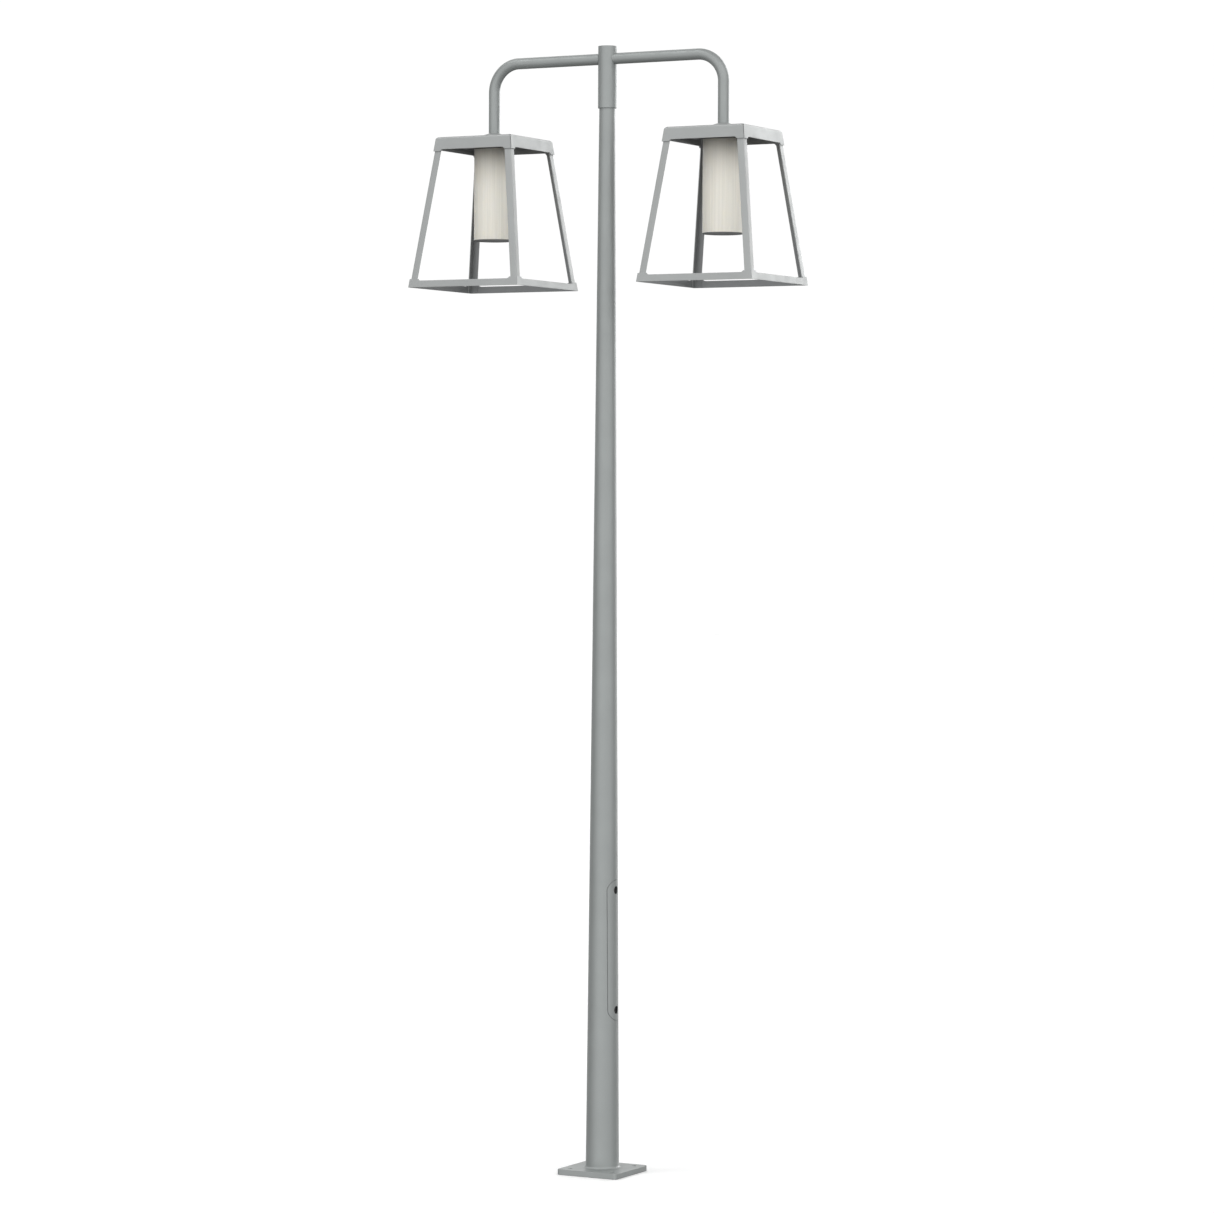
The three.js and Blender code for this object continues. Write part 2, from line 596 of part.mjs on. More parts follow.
// A square plate inside the cap, notched at its corners for the legs.
function gearPlate(screwAt) {
  const half = lanternHalf(GEAR_PLATE_DROP) - SHEET - GEAR_PLATE_MARGIN;
  const [low, high] = [-GEAR_PLATE_BOTTOM, -GEAR_PLATE_DROP];
  const [below, above] = [low - OVERCUT, high + OVERCUT];
  const notch = LEG_FLANGE + 2 * GEAR_PLATE_MARGIN;
  const notches = [];
  for (const x of [-half, half])
    for (const y of [-half, half])
      notches.push(block([x - notch, y - notch, below], [x + notch, y + notch, above]));
  const screwHole = rod(ROOF_SCREW_R + GAP, below, above).translate(...screwAt, 0);
  const nippleHole = rod(NIPPLE_HOLE_R, below, above, TUBE_SIDES);
  return cut(block([-half, -half, low], [half, half, high]), ...notches, screwHole, nippleHole);
}

// A dome-headed screw that holds the gear plate up to the roof.
function roofScrew(screwAt) {
  const shank = [[0, -GEAR_PLATE_BOTTOM], [ROOF_SCREW_R, -GEAR_PLATE_BOTTOM], [ROOF_SCREW_R, GAP]];
  const dome = [[ROOF_SCREW_HEAD_R, GAP]];
  for (let i = 1; i <= CORNER_STEPS; i++) {
    const turn = (i / CORNER_STEPS) * (Math.PI / 2);
    dome.push([ROOF_SCREW_HEAD_R * Math.cos(turn), GAP + ROOF_SCREW_HEAD_HEIGHT * Math.sin(turn)]);
  }
  dome[CORNER_STEPS][0] = 0;
  return revolve([...shank, ...dome], SMALL_SIDES).translate(...screwAt, 0);
}

// The driver's box stands against the cap's near wall, clear of the holder ring.
function driver() {
  const outline = roundedRectangle(DRIVER_LENGTH, DRIVER_WIDTH, DRIVER_CORNER_R);
  const top = -GEAR_PLATE_BOTTOM - GAP;
  const nearEdge = DIFFUSER_R + RUNNING_GAP + HOLDER_WALL + GEAR_PLATE_MARGIN;
  return extrude(outline, DRIVER_HEIGHT).translate(0, -nearEdge - DRIVER_WIDTH / 2, top - DRIVER_HEIGHT);
}

// A round heat sink on three posts, between which the lock nut is reached.
function heatSink() {
  const [bottom, top] = [-HEAT_SINK_DROP - HEAT_SINK_THICKNESS, -HEAT_SINK_DROP];
  const posts = [0, 1, 2].map((i) => rod(HEAT_SINK_POST_R, top - OVERCUT, -GEAR_PLATE_BOTTOM - GAP)
    .translate(HEAT_SINK_POST_CIRCLE_R, 0, 0).rotateZ((i * 2 * Math.PI) / 3));
  return join(rod(HEAT_SINK_R, bottom, top, TUBE_SIDES), ...posts);
}

function ledBoard() {
  const top = -HEAT_SINK_DROP - HEAT_SINK_THICKNESS - GAP;
  return rod(LED_BOARD_R, top - LED_BOARD_THICKNESS, top, TUBE_SIDES);
}

function holderRing() {
  const bore = DIFFUSER_R + RUNNING_GAP;
  const top = -GEAR_PLATE_BOTTOM - GAP;
  return ring(bore, bore + HOLDER_WALL, top - HOLDER_HEIGHT, top, COLUMN_SIDES);
}

function diffuserTube() {
  const bottom = -DIFFUSER_BOTTOM_DROP + END_CAP_THICKNESS + GAP;
  return ring(DIFFUSER_R - DIFFUSER_WALL, DIFFUSER_R, bottom, -DIFFUSER_TOP_DROP, COLUMN_SIDES);
}

// A flat cap under the tube, with a raised disc that fits into it.
function endCap() {
  const [bottom, seat] = [-DIFFUSER_BOTTOM_DROP, -DIFFUSER_BOTTOM_DROP + END_CAP_THICKNESS];
  const [rim, spigot] = [DIFFUSER_R + END_CAP_LIP, DIFFUSER_R - DIFFUSER_WALL - HOLE_GAP];
  const top = seat + END_CAP_SPIGOT;
  const profile = [[0, bottom], [rim, bottom], [rim, seat], [spigot, seat], [spigot, top], [0, top]];
  return revolve(profile, COLUMN_SIDES);
}

function lantern(side, sign) {
  const group = new THREE.Group();
  group.position.set(sign * ARM_REACH, 0, ROOF_Z);
  const screwAt = ROOF_SCREW_AT.map((value) => sign * value);
  const add = (name, geometry, finish) => group.add(piece(`${side}_${name}`, geometry, finish));
  add("rosette", rosette(), "lantern_coat");
  add("roof_cap", roofCap(screwAt), "lantern_coat");
  add("roof_screw", roofScrew(screwAt), "zinc");
  const corners = ["back_right", "back_left", "front_left", "front_right"];
  corners.forEach((corner, quarter) => add(`leg_${corner}`, leg(quarter), "lantern_coat"));
  add("bottom_frame", bottomFrame(), "lantern_coat");
  add("nipple", nipple(), "zinc");
  add("spacer", spacer(), "zinc");
  add("gear_plate", gearPlate(screwAt), "zinc");
  add("lock_nut", lockNut(), "zinc");
  add("driver", driver(), "black_plastic");
  add("heat_sink", heatSink(), "aluminium");
  add("led_board", ledBoard(), "white_board");
  add("holder_ring", holderRing(), "grey_plastic");
  add("diffuser", diffuserTube(), "opal");
  add("diffuser_end_cap", endCap(), "grey_plastic");
  return group;
}

// ---- Assembly ----

const post = new THREE.Group();
post.add(piece("base_plate", basePlate(), "powder_coat"));
post.add(piece("foot_weld", footWeld(), "powder_coat"));
post.add(piece("column_foot", columnFoot(), "powder_coat"));
post.add(piece("column_shaft", columnWall(COLUMN_JOINT_Z + GAP, COLUMN_TOP_Z), "powder_coat"));
post.add(piece("access_door", accessDoor(), "powder_coat"));
for (const { name, z } of LOCKS) {
  post.add(piece(`${name}_lock_cup`, lockCup(z), "black_plastic"));
  post.add(piece(`${name}_lock_screw`, lockScrew(z), "dark_steel"));
  post.add(piece(`${name}_lock_bar`, lockBar(z), "zinc"));
}
post.add(piece("equipment_rail", equipmentRail(), "zinc"));
post.add(piece("fused_cut_out", cutOut(), "grey_plastic"));
post.add(piece("fuse_carrier", fuseCarrier(), "black_plastic"));
post.add(piece("earth_stud", earthStud(), "zinc"));
post.add(piece("top_sleeve", topSleeve(), "powder_coat"));
GRUB_RISES.forEach((rise, i) => post.add(piece(`sleeve_grub_screw_${i + 1}`, grubScrew(rise), "dark_steel")));
post.add(piece("right_arm", arm(), "powder_coat"));
post.add(piece("left_arm", arm().rotateZ(Math.PI), "powder_coat"));
post.add(lantern("right", 1), lantern("left", -1));

export default post;
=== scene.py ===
import math

import bpy
import numpy as np
from mathutils import Matrix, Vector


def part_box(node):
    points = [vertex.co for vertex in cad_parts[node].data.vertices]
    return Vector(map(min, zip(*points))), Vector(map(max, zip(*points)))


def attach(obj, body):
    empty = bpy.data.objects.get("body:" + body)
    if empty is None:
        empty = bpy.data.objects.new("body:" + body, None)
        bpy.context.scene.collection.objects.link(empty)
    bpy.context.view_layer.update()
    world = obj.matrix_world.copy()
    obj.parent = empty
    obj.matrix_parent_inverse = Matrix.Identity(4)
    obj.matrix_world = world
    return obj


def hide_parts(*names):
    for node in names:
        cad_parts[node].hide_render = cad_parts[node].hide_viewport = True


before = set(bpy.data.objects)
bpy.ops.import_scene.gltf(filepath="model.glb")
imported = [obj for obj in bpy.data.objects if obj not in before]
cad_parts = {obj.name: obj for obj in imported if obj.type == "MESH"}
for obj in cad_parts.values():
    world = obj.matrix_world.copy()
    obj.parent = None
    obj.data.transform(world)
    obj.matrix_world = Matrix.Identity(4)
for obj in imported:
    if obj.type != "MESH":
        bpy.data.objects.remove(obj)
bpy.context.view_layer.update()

# ---- Sizes ----

MM = 0.001
TURN = 2 * math.pi


def low(node):
    return np.array(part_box(node)[0])


def high(node):
    return np.array(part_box(node)[1])


def middle(node):
    return (low(node) + high(node)) / 2


TOUCH = 0.3 * MM  # left between pieces that touch

# Base plate
PLATE_HALF = high("base_plate")[0]
PLATE_TOP = high("base_plate")[2]
PLATE_CORNER_R = 12 * MM
PLATE_EDGE = 3 * MM
ANCHOR_AT = 84 * MM
ANCHOR_HOLE_R = 8 * MM
ANCHOR_MARGIN = 6 * MM  # of finer cells round the hole
CABLE_HOLE_R = 42 * MM
CABLE_MARGIN = 10 * MM
WELD_SIZE = high("foot_weld")[2] - low("foot_weld")[2]
WELD_RIPPLES = 96
WELD_RIPPLE = 0.22 * MM
WELD_TRAIL = 2.2  # how far, as an angle of its wave, a ripple's middle lags

# Column
COLUMN_BOTTOM = low("column_foot")[2]
COLUMN_TOP = high("column_shaft")[2]
COLUMN_FOOT_R = high("column_foot")[0]
COLUMN_TAPER = (COLUMN_FOOT_R - high("column_shaft")[0]) / (low("column_shaft")[2] - COLUMN_BOTTOM)
COLUMN_WALL = 3 * MM
OPENING_REACH = 1.15  # angle from the door's middle to the edge of the finer cells
OPENING_MARGIN = 60 * MM

# Access door and locks
DOOR_HALF = high("access_door")[1]
DOOR_LOW = low("access_door")[2]
DOOR_HIGH = high("access_door")[2]
DOOR_GAP = 1 * MM
LOCK_NAMES = ("lower", "upper")
LOCK_HOLE_R = 14 * MM
LOCK_HOLE_MARGIN = 8 * MM
LOCK_CUP_WALL = 2.5 * MM
LOCK_HEAD_R = (high("lower_lock_screw")[2] - low("lower_lock_screw")[2]) / 2
LOCK_HEAD_THICKNESS = 6 * MM
LOCK_SLOT = 2.6 * MM
LOCK_SHANK_R = 4 * MM
LOCK_SHANK_GAP = 0.6 * MM

# Sleeve and arms
SLEEVE_R = high("top_sleeve")[0]
SLEEVE_LOW = low("top_sleeve")[2]
SLEEVE_HIGH = high("top_sleeve")[2]
SLEEVE_TOP_THICKNESS = 5 * MM
SLEEVE_EDGE = 1.2 * MM
SLEEVE_BORE_R = COLUMN_FOOT_R - COLUMN_TAPER * (SLEEVE_LOW - COLUMN_BOTTOM) + 0.5 * MM
GRUB_HOLE_R = 4.3 * MM
GRUB_HOLE_REACH = 0.3  # half the angle of the finer cells round the hole
GRUB_HOLE_MARGIN = 9 * MM
GRUB_R = 4 * MM
GRUB_SOCKET_R = 2.4 * MM
GRUB_SOCKET_DEPTH = 3.5 * MM
CABLE_WAY_REACH = 0.75
CABLE_WAY_MARGIN = 24 * MM
ARM_R = high("right_arm")[1]
ARM_WALL = 3 * MM
ARM_REACH = high("right_arm")[0] - ARM_R
ARM_Z = high("right_arm")[2] - ARM_R
ARM_END = low("right_arm")[2]
ARM_BEND_R = 100 * MM

# Lantern. A drop is measured down from the roof's upper face.
ROOF_Z = high("right_roof_cap")[2]
LANTERN_HEIGHT = ROOF_Z - low("right_bottom_frame")[2]
CAP_LUG_DEPTH = ROOF_Z - low("right_roof_cap")[2]
RIM_HALF = high("right_roof_cap")[0] - ARM_REACH
FOOT_HALF = high("right_bottom_frame")[0] - ARM_REACH
SPLAY = (FOOT_HALF - RIM_HALF) / (LANTERN_HEIGHT - CAP_LUG_DEPTH)
SPLAY_ANGLE = math.atan(SPLAY)
SHEET = 4 * MM
ROOF_BEND_R = 8 * MM
CAP_DEPTH = 44.5 * MM
CAP_LUG_WIDTH = 28 * MM
CAP_LUG_FILLET = 9 * MM
CAP_SEAM = 1.2 * MM  # half the slit where two walls of the cap meet
RELIEF_R = 4.8 * MM
BAND_HEIGHT = 24.4 * MM
COLLAR_HEIGHT = 30.5 * MM
COLLAR_WIDTH = 32 * MM
COLLAR_FILLET = 12 * MM
LEG_FLANGE = 25 * MM
LEG_THICKNESS = 3 * MM
LEG_INSET = SHEET + TOUCH
LEG_HEEL_R = 1.6 * MM
LEG_INNER_R = 1 * MM
LEG_END_GAP = 1 * MM
RIBS = 68
RIB_DEPTH = 0.7 * MM
RIB_ROUNDNESS = 0.96  # 1 would make each rib a full half circle
DIFFUSER_WALL = 3 * MM
DIFFUSER_EDGE = 0.8 * MM
HOLDER_GAP = 0.6 * MM
SPIGOT_GAP = 0.5 * MM
END_CAP_FLANGE = 3 * MM
END_CAP_DISH = 0.8 * MM
ROSETTE_EDGE = 12.7 * MM
ROOF_SCREW_AT = np.array([-18 * MM, -103 * MM])
ROOF_SCREW_HOLE_R = 3.3 * MM
ROOF_SCREW_R = 3 * MM
NIPPLE_WALL = 5 * MM
NIPPLE_GAP = 0.5 * MM
HEAT_SINK_PLATE = 10 * MM
HEAT_SINK_POSTS = 3
HEAT_SINK_POST_AT = 48 * MM
HEAT_SINK_POST_R = 3 * MM
DRIVER_CORNER_R = 6 * MM

# Fineness
FINE_ROUND = 96
ROUND = 48
ARC_STEPS = 8


def column_r(z):
    return COLUMN_FOOT_R - COLUMN_TAPER * (z - COLUMN_BOTTOM)


def lantern_half(drop):
    """Half the lantern's outside width: it grows evenly with the drop."""
    return RIM_HALF + SPLAY * (drop - CAP_LUG_DEPTH)


# ---- Surfaces ----
#
# A sheet is a list of patches. Each patch is a grid of points on its outer face, the matching
# grid on its inner face, and a mask of the cells that are kept, or None where all of them are.

WELD_DISTANCE = 1e-5
WELD_OFFSET = 0.317  # keeps round sizes away from the edges of the cells


def weld(points, faces):
    """Points that share a place, to a hundredth of a millimetre, get one number."""
    cells = np.floor(points / WELD_DISTANCE + WELD_OFFSET).astype(np.int64)
    _, first, number = np.unique(cells, axis=0, return_index=True, return_inverse=True)
    return first, number.reshape(-1)[faces]


def cells_of(shape, start=0):
    """The four corner numbers of every cell of a grid, anticlockwise."""
    index = start + np.arange(shape[0] * shape[1]).reshape(shape)
    corners = index[:-1, :-1], index[:-1, 1:], index[1:, 1:], index[1:, :-1]
    return np.stack(corners, axis=-1)


def outward(points, faces):
    """Turns every face round if the volume that they enclose comes out negative."""
    a, b, c, d = (points[faces[:, k]] for k in range(4))
    volume = np.sum(a * (np.cross(b, c) + np.cross(c, d)))
    return faces if volume > 0 else faces[:, ::-1]


def polar(radius, angle, z):
    """Points at a radius, an angle and a height."""
    return np.stack(np.broadcast_arrays(radius * np.cos(angle), radius * np.sin(angle), z), axis=-1)


def closed(points):
    """A closed surface from one grid whose ends meet or shrink to points."""
    flat = points.reshape(-1, 3)
    first, faces = weld(flat, cells_of(points.shape[:2]).reshape(-1, 4))
    return flat[first], outward(flat[first], faces)


def shell(patches):
    """A solid sheet: its outer faces, its inner faces turned round, and a strip of faces along
    every edge that belongs to one face only."""
    outer, inner, faces, start = [], [], [], 0
    for out, into, keep in patches:
        cells = cells_of(out.shape[:2], start)
        faces.append(cells[keep] if keep is not None else cells.reshape(-1, 4))
        outer.append(out.reshape(-1, 3))
        inner.append(into.reshape(-1, 3))
        start += out.shape[0] * out.shape[1]
    outer, inner = np.concatenate(outer), np.concatenate(inner)
    first, faces = weld(outer, np.concatenate(faces))
    count = len(first)
    points = np.concatenate([outer[first], inner[first]])
    edges = np.stack([faces, np.roll(faces, -1, axis=1)], axis=-1).reshape(-1, 2)
    edges = edges[edges[:, 0] != edges[:, 1]]
    lone = ~np.isin(edges[:, 0] * count + edges[:, 1], edges[:, 1] * count + edges[:, 0])
    a, b = edges[lone].T
    rim = np.stack([b, a, a + count, b + count], axis=-1)
    faces = np.concatenate([faces, faces[:, ::-1] + count, rim])
    return points, outward(points, faces)


def together(*solids):
    """Several closed surfaces in one mesh."""
    points, faces, start = [], [], 0
    for p, f in solids:
        points.append(p)
        faces.append(f + start)
        start += len(p)
    return np.concatenate(points), np.concatenate(faces)


def samples(breaks, counts):
    """Values from each break to the next in equal steps, each break given once."""
    runs = [np.linspace(a, b, n, endpoint=False) for a, b, n in zip(breaks, breaks[1:], counts)]
    return np.concatenate([*runs, breaks[-1:]])


def grid(us, vs):
    """Every pair of a u and a v, in rows of equal v."""
    return np.stack(np.meshgrid(us, vs), axis=-1)


def pierced(us, vs, holes, bend=None, rows=3):
    """A grid over us and vs with a block of cells left out round each hole, and a ring of cells
    from each block's edge in to its hole. A hole is its block's two u and two v values and a
    function that moves the edge's points to the hole's rim. Gives pairs of points and mask."""
    points = grid(us, vs)
    if bend is not None:
        points = bend(points)
    keep = np.ones((len(vs) - 1, len(us) - 1), bool)
    rings = []
    for (u0, u1, v0, v1), rim in holes:
        i0, i1 = np.argmin(abs(us - u0)), np.argmin(abs(us - u1))
        j0, j1 = np.argmin(abs(vs - v0)), np.argmin(abs(vs - v1))
        keep[j0:j1, i0:i1] = False
        sides = points[j0, i0:i1], points[j0:j1, i1], points[j1, i1:i0:-1], points[j1:j0:-1, i0]
        edge = np.concatenate([*sides, points[j0, i0][None]])
        share = np.linspace(0, 1, rows + 1)[:, None, None]
        rings.append((edge + (rim(edge) - edge) * share, None))
    return [(points, keep), *rings]


def level(height):
    """Lifts flat points to a height."""
    return lambda flat: np.concatenate([flat, np.full((*flat.shape[:2], 1), height)], axis=-1)


def placed(flat_patches, outer, inner):
    """Carries flat patches to the two faces of a sheet."""
    return [(outer(points), inner(points), keep) for points, keep in flat_patches]


def toward(centre, radius):
    """A round rim: each point keeps its direction from the centre and takes the radius."""
    def rim(edge):
        away = edge - centre
        return centre + radius * away / np.linalg.norm(away, axis=-1, keepdims=True)
    return rim


def round_hole(centre, reach, radius):
    """A round hole and the square block of cells, so far to every side, that it is cut in."""
    u, v = centre
    return (u - reach, u + reach, v - reach, v + reach), toward(np.array(centre), radius)


def corners_rounded(half_u, half_v, radius):
    """Presses the corners of a rectangle about the origin into quarter circles: inside each
    corner square, square rings become round ones."""
    def bend(points):
        sign = np.where(points < 0, -1.0, 1.0)
        past = abs(points) - (np.array([half_u, half_v]) - radius)
        into = np.maximum(past, 0)
        length = np.maximum(np.linalg.norm(into, axis=-1, keepdims=True), 1e-12)
        return sign * (abs(points) + into * (into.max(axis=-1, keepdims=True) / length - 1))
    return bend


def rounded(corners, loop=False):
    """A path through corners of (across, up, radius), each corner replaced by an arc of its
    radius that touches both of its straight sides."""
    path = []
    count = len(corners)
    for i, (x, y, radius) in enumerate(corners):
        point = np.array([x, y])
        inside = loop or 0 < i < count - 1
        if radius == 0 or not inside:
            path.append(point[None])
            continue
        before = np.array(corners[i - 1][:2]) - point
        after = np.array(corners[(i + 1) % count][:2]) - point
        before, after = before / np.linalg.norm(before), after / np.linalg.norm(after)
        half = math.acos(np.clip(before @ after, -1, 1)) / 2
        middle = before + after
        centre = point + middle / np.linalg.norm(middle) * radius / math.sin(half)
        start = point + before * radius / math.tan(half) - centre
        end = point + after * radius / math.tan(half) - centre
        sweep = math.pi - 2 * half
        share = np.linspace(0, 1, ARC_STEPS + 1)[:, None]
        arc = np.sin((1 - share) * sweep) * start + np.sin(share * sweep) * end
        path.append(centre + arc / math.sin(sweep))
    if loop:
        path.append(path[0][:1])
    return np.concatenate(path)


def hexagon_r(angle):
    """How far a hexagon's edge is from its centre at an angle, for a corner distance of 1."""
    sector = TURN / 6
    return math.cos(sector / 2) / np.cos((angle % sector) - sector / 2)


def turned(profile, around=ROUND, hexagonal=None, centre=(0, 0)):
    """A profile of (radius, height) turned round a vertical axis. The rows in the slice
    hexagonal take their radius as a hexagon's corner distance."""
    angle = np.linspace(0, TURN, around + 1)
    radius = np.repeat(profile[:, :1], around + 1, axis=1)
    if hexagonal is not None:
        radius[hexagonal] *= hexagon_r(angle)
    return closed(polar(radius, angle, profile[:, 1:]) + np.array([*centre, 0]))


ALONG_X = ((0, 1, 0), (0, 0, 1), (1, 0, 0))  # where a solid's own X, Y and Z go
ALONG_Y = ((1, 0, 0), (0, 0, 1), (0, 1, 0))


def onto(solid, axes, origin):
    """Puts a solid's own axes along three directions from an origin."""
    points, faces = solid
    return points @ np.array(axes, float) + np.array(origin), faces


def moved(solid, by):
    points, faces = solid
    return points + np.array(by), faces


def ring(inner, outer, bottom, top, edge, around):
    """A tube with rounded edges, turned from its section."""
    corners = [(inner, bottom, edge), (outer, bottom, edge), (outer, top, edge), (inner, top, edge)]
    return turned(rounded(corners, loop=True), around)


# ---- Objects ----

SHARP = math.radians(32)
BEVEL_STEPS = 3
# the mark on a sheet's inner points, where its finish paints shade
INSIDE_SHADE_ATTRIBUTE = "inside"


def piece(name, solid, slot, body, replaced, bevel=0.0, shaded_inside=False):
    """An object made of closed surfaces, in its slot's finish, that stands for the frame's nodes
    and rides on a body. Faces with two corners in one place are made triangles. A piece shaded
    inside is a sheet whose inner points, the second half of them, are marked for painted shade."""
    points, faces = solid
    same = faces == np.roll(faces, -1, axis=1)
    doubled = same.sum(axis=1)
    whole = faces[doubled == 0]
    thin = faces[doubled == 1][~same[doubled == 1]].reshape(-1, 3)
    mesh = bpy.data.meshes.new(name)
    mesh.from_pydata(points.tolist(), [], whole.tolist() + thin.tolist())
    if shaded_inside:
        inside = mesh.attributes.new(INSIDE_SHADE_ATTRIBUTE, "FLOAT", "POINT")
        inside.data.foreach_set("value", (np.arange(len(points)) >= len(points) // 2).astype(float))
    mesh.polygons.foreach_set("use_smooth", np.ones(len(mesh.polygons), bool))
    mesh.validate()
    mesh.set_sharp_from_angle(angle=SHARP)
    mesh.materials.append(SLOT_FINISH[slot])
    obj = bpy.data.objects.new(name, mesh)
    bpy.context.scene.collection.objects.link(obj)
    if bevel:
        soften = obj.modifiers.new("soft edges", "BEVEL")
        soften.width = bevel
        soften.segments = BEVEL_STEPS
        soften.limit_method = "ANGLE"
        soften.angle_limit = SHARP
        soften.harden_normals = True
    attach(obj, body)
    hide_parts(*replaced)


# ---- Materials ----


def shader_of(name, colour, roughness, metallic=0.0):
    """A new material, its node tree and its shader with the even values set."""
    made = bpy.data.materials.new(name)
    made.use_nodes = True
    tree = made.node_tree
    shader = tree.nodes["Principled BSDF"]
    shader.inputs["Base Color"].default_value = (*colour, 1)
    shader.inputs["Roughness"].default_value = roughness
    shader.inputs["Metallic"].default_value = metallic
    return made, tree, shader


def add_node(tree, kind, values=None, **settings):
    """A node with its settings and the values of its sockets."""
    made = tree.nodes.new(kind)
    for key, value in settings.items():
        setattr(made, key, value)
    for key, value in (values or {}).items():
        made.inputs[key].default_value = value
    return made


def object_place(tree, scale=(1, 1, 1)):
    """Object coordinates, stretched."""
    source = add_node(tree, "ShaderNodeTexCoord")
    mapping = add_node(tree, "ShaderNodeMapping", {"Scale": scale})
    tree.links.new(source.outputs["Object"], mapping.inputs["Vector"])
    return mapping.outputs["Vector"]


def noise(tree, place, scale, detail=2.0, rough=0.5):
    values = {"Scale": scale, "Detail": detail, "Roughness": rough}
    made = add_node(tree, "ShaderNodeTexNoise", values)
    tree.links.new(place, made.inputs["Vector"])
    return made.outputs["Fac"]


def spread(tree, source, low_value, high_value, from_low=0.3, from_high=0.7):
    """Maps the middle of a pattern's range to a range of values."""
    values = {"From Min": from_low, "From Max": from_high, "To Min": low_value, "To Max": high_value}
    made = add_node(tree, "ShaderNodeMapRange", values)
    tree.links.new(source, made.inputs["Value"])
    return made.outputs["Result"]


def scaled(colour, factor):
    return tuple(min(1.0, c * factor) for c in colour)


MIX_COLOURS = (6, 7)  # the two colour inputs of a Mix node, and its colour output
MIX_RESULT = 2


def mixed(tree, share, *colours):
    """A colour between two by a pattern. Each is an even colour or another node's output."""
    made = add_node(tree, "ShaderNodeMix", data_type="RGBA")
    tree.links.new(share, made.inputs["Factor"])
    for socket, colour in zip(MIX_COLOURS, colours):
        if isinstance(colour, tuple):
            made.inputs[socket].default_value = (*colour, 1)
        else:
            tree.links.new(colour, made.inputs[socket])
    return made.outputs[MIX_RESULT]


def reckoned(tree, operation, first, second):
    """The sum or the product of two outputs."""
    made = add_node(tree, "ShaderNodeMath", operation=operation)
    tree.links.new(first, made.inputs[0])
    tree.links.new(second, made.inputs[1])
    return made.outputs[0]


def tinted(tree, shader, pattern, colour, dark, light):
    """Gives the shader a colour that a pattern moves between a darker and a lighter one."""
    shade = mixed(tree, pattern, scaled(colour, dark), scaled(colour, light))
    tree.links.new(shade, shader.inputs["Base Color"])
    return shade


def bump(tree, shader, source, strength, distance):
    made = add_node(tree, "ShaderNodeBump", {"Strength": strength, "Distance": distance})
    tree.links.new(source, made.inputs["Height"])
    tree.links.new(made.outputs["Normal"], shader.inputs["Normal"])


INSIDE_SHADE_RAMP = (0.85, 0.95)  # from the bevel's marks, which are partly inside, to the sheet's


def powder_coat(name, colour, roughness, metallic, painted_inner_shade=None):
    """Fine-textured powder coat: faint cloudiness, a speckle of flakes and an orange-peel skin.
    Where a sheet's points are marked as inside, it takes a darker colour: painted shade on the sheet's
    inner faces."""
    made, tree, shader = shader_of(name, colour, roughness, metallic)
    place = object_place(tree)
    clouds = spread(tree, noise(tree, place, scale=7, detail=3), 0.0, 0.55)
    flakes = spread(tree, noise(tree, place, scale=1400, detail=1), 0.0, 0.45)
    shade = tinted(tree, shader, reckoned(tree, "ADD", clouds, flakes), colour, 0.95, 1.05)
    # painted shade: where a sheet's points are marked as inside, the colour turns darker
    if painted_inner_shade is not None:
        marked = add_node(tree, "ShaderNodeAttribute", attribute_name=INSIDE_SHADE_ATTRIBUTE)
        inside = spread(tree, marked.outputs["Fac"], 0.0, 1.0, *INSIDE_SHADE_RAMP)
        tree.links.new(mixed(tree, inside, shade, painted_inner_shade), shader.inputs["Base Color"])
    patches = spread(tree, noise(tree, place, scale=22), roughness - 0.04, roughness + 0.05)
    tree.links.new(patches, shader.inputs["Roughness"])
    bump(tree, shader, noise(tree, place, scale=520), strength=0.22, distance=0.25 * MM)
    return made


def galvanised(name, colour):
    """Zinc with its spangle: irregular crystals that differ a little in tone and gloss."""
    made, tree, shader = shader_of(name, colour, roughness=0.42, metallic=0.85)
    place = object_place(tree)
    crystals = add_node(tree, "ShaderNodeTexVoronoi", {"Scale": 130.0, "Randomness": 1.0})
    tree.links.new(place, crystals.inputs["Vector"])
    tone = add_node(tree, "ShaderNodeSeparateColor")
    tree.links.new(crystals.outputs["Color"], tone.inputs["Color"])
    tinted(tree, shader, tone.outputs[0], colour, 0.82, 1.12)
    gloss = spread(tree, tone.outputs[1], 0.34, 0.52, 0.0, 1.0)
    tree.links.new(gloss, shader.inputs["Roughness"])
    bump(tree, shader, noise(tree, place, scale=300), strength=0.15, distance=0.2 * MM)
    return made


def brushed(name, colour, roughness, stretch):
    """Machined metal with fine marks drawn out along the axes whose stretch is small."""
    made, tree, shader = shader_of(name, colour, roughness, metallic=1.0)
    marks = noise(tree, object_place(tree, stretch), scale=900, detail=3)
    tinted(tree, shader, spread(tree, marks, 0.0, 1.0), colour, 0.86, 1.1)
    tree.links.new(spread(tree, marks, roughness - 0.08, roughness + 0.1), shader.inputs["Roughness"])
    bump(tree, shader, marks, strength=0.12, distance=0.1 * MM)
    return made


def moulded(name, colour, roughness, grain):
    """Moulded plastic with a fine spark-eroded grain."""
    made, tree, shader = shader_of(name, colour, roughness)
    place = object_place(tree)
    clouds = noise(tree, place, scale=35)
    tinted(tree, shader, spread(tree, clouds, 0.0, 1.0), colour, 0.95, 1.06)
    tree.links.new(spread(tree, clouds, roughness - 0.03, roughness + 0.05), shader.inputs["Roughness"])
    bump(tree, shader, noise(tree, place, scale=grain), strength=0.18, distance=0.15 * MM)
    return made


OPAL_PAINTED_SHADE = (ROOF_Z - 200 * MM, ROOF_Z - 20 * MM)  # the heights where the painted shade at the diffuser's top starts and is full
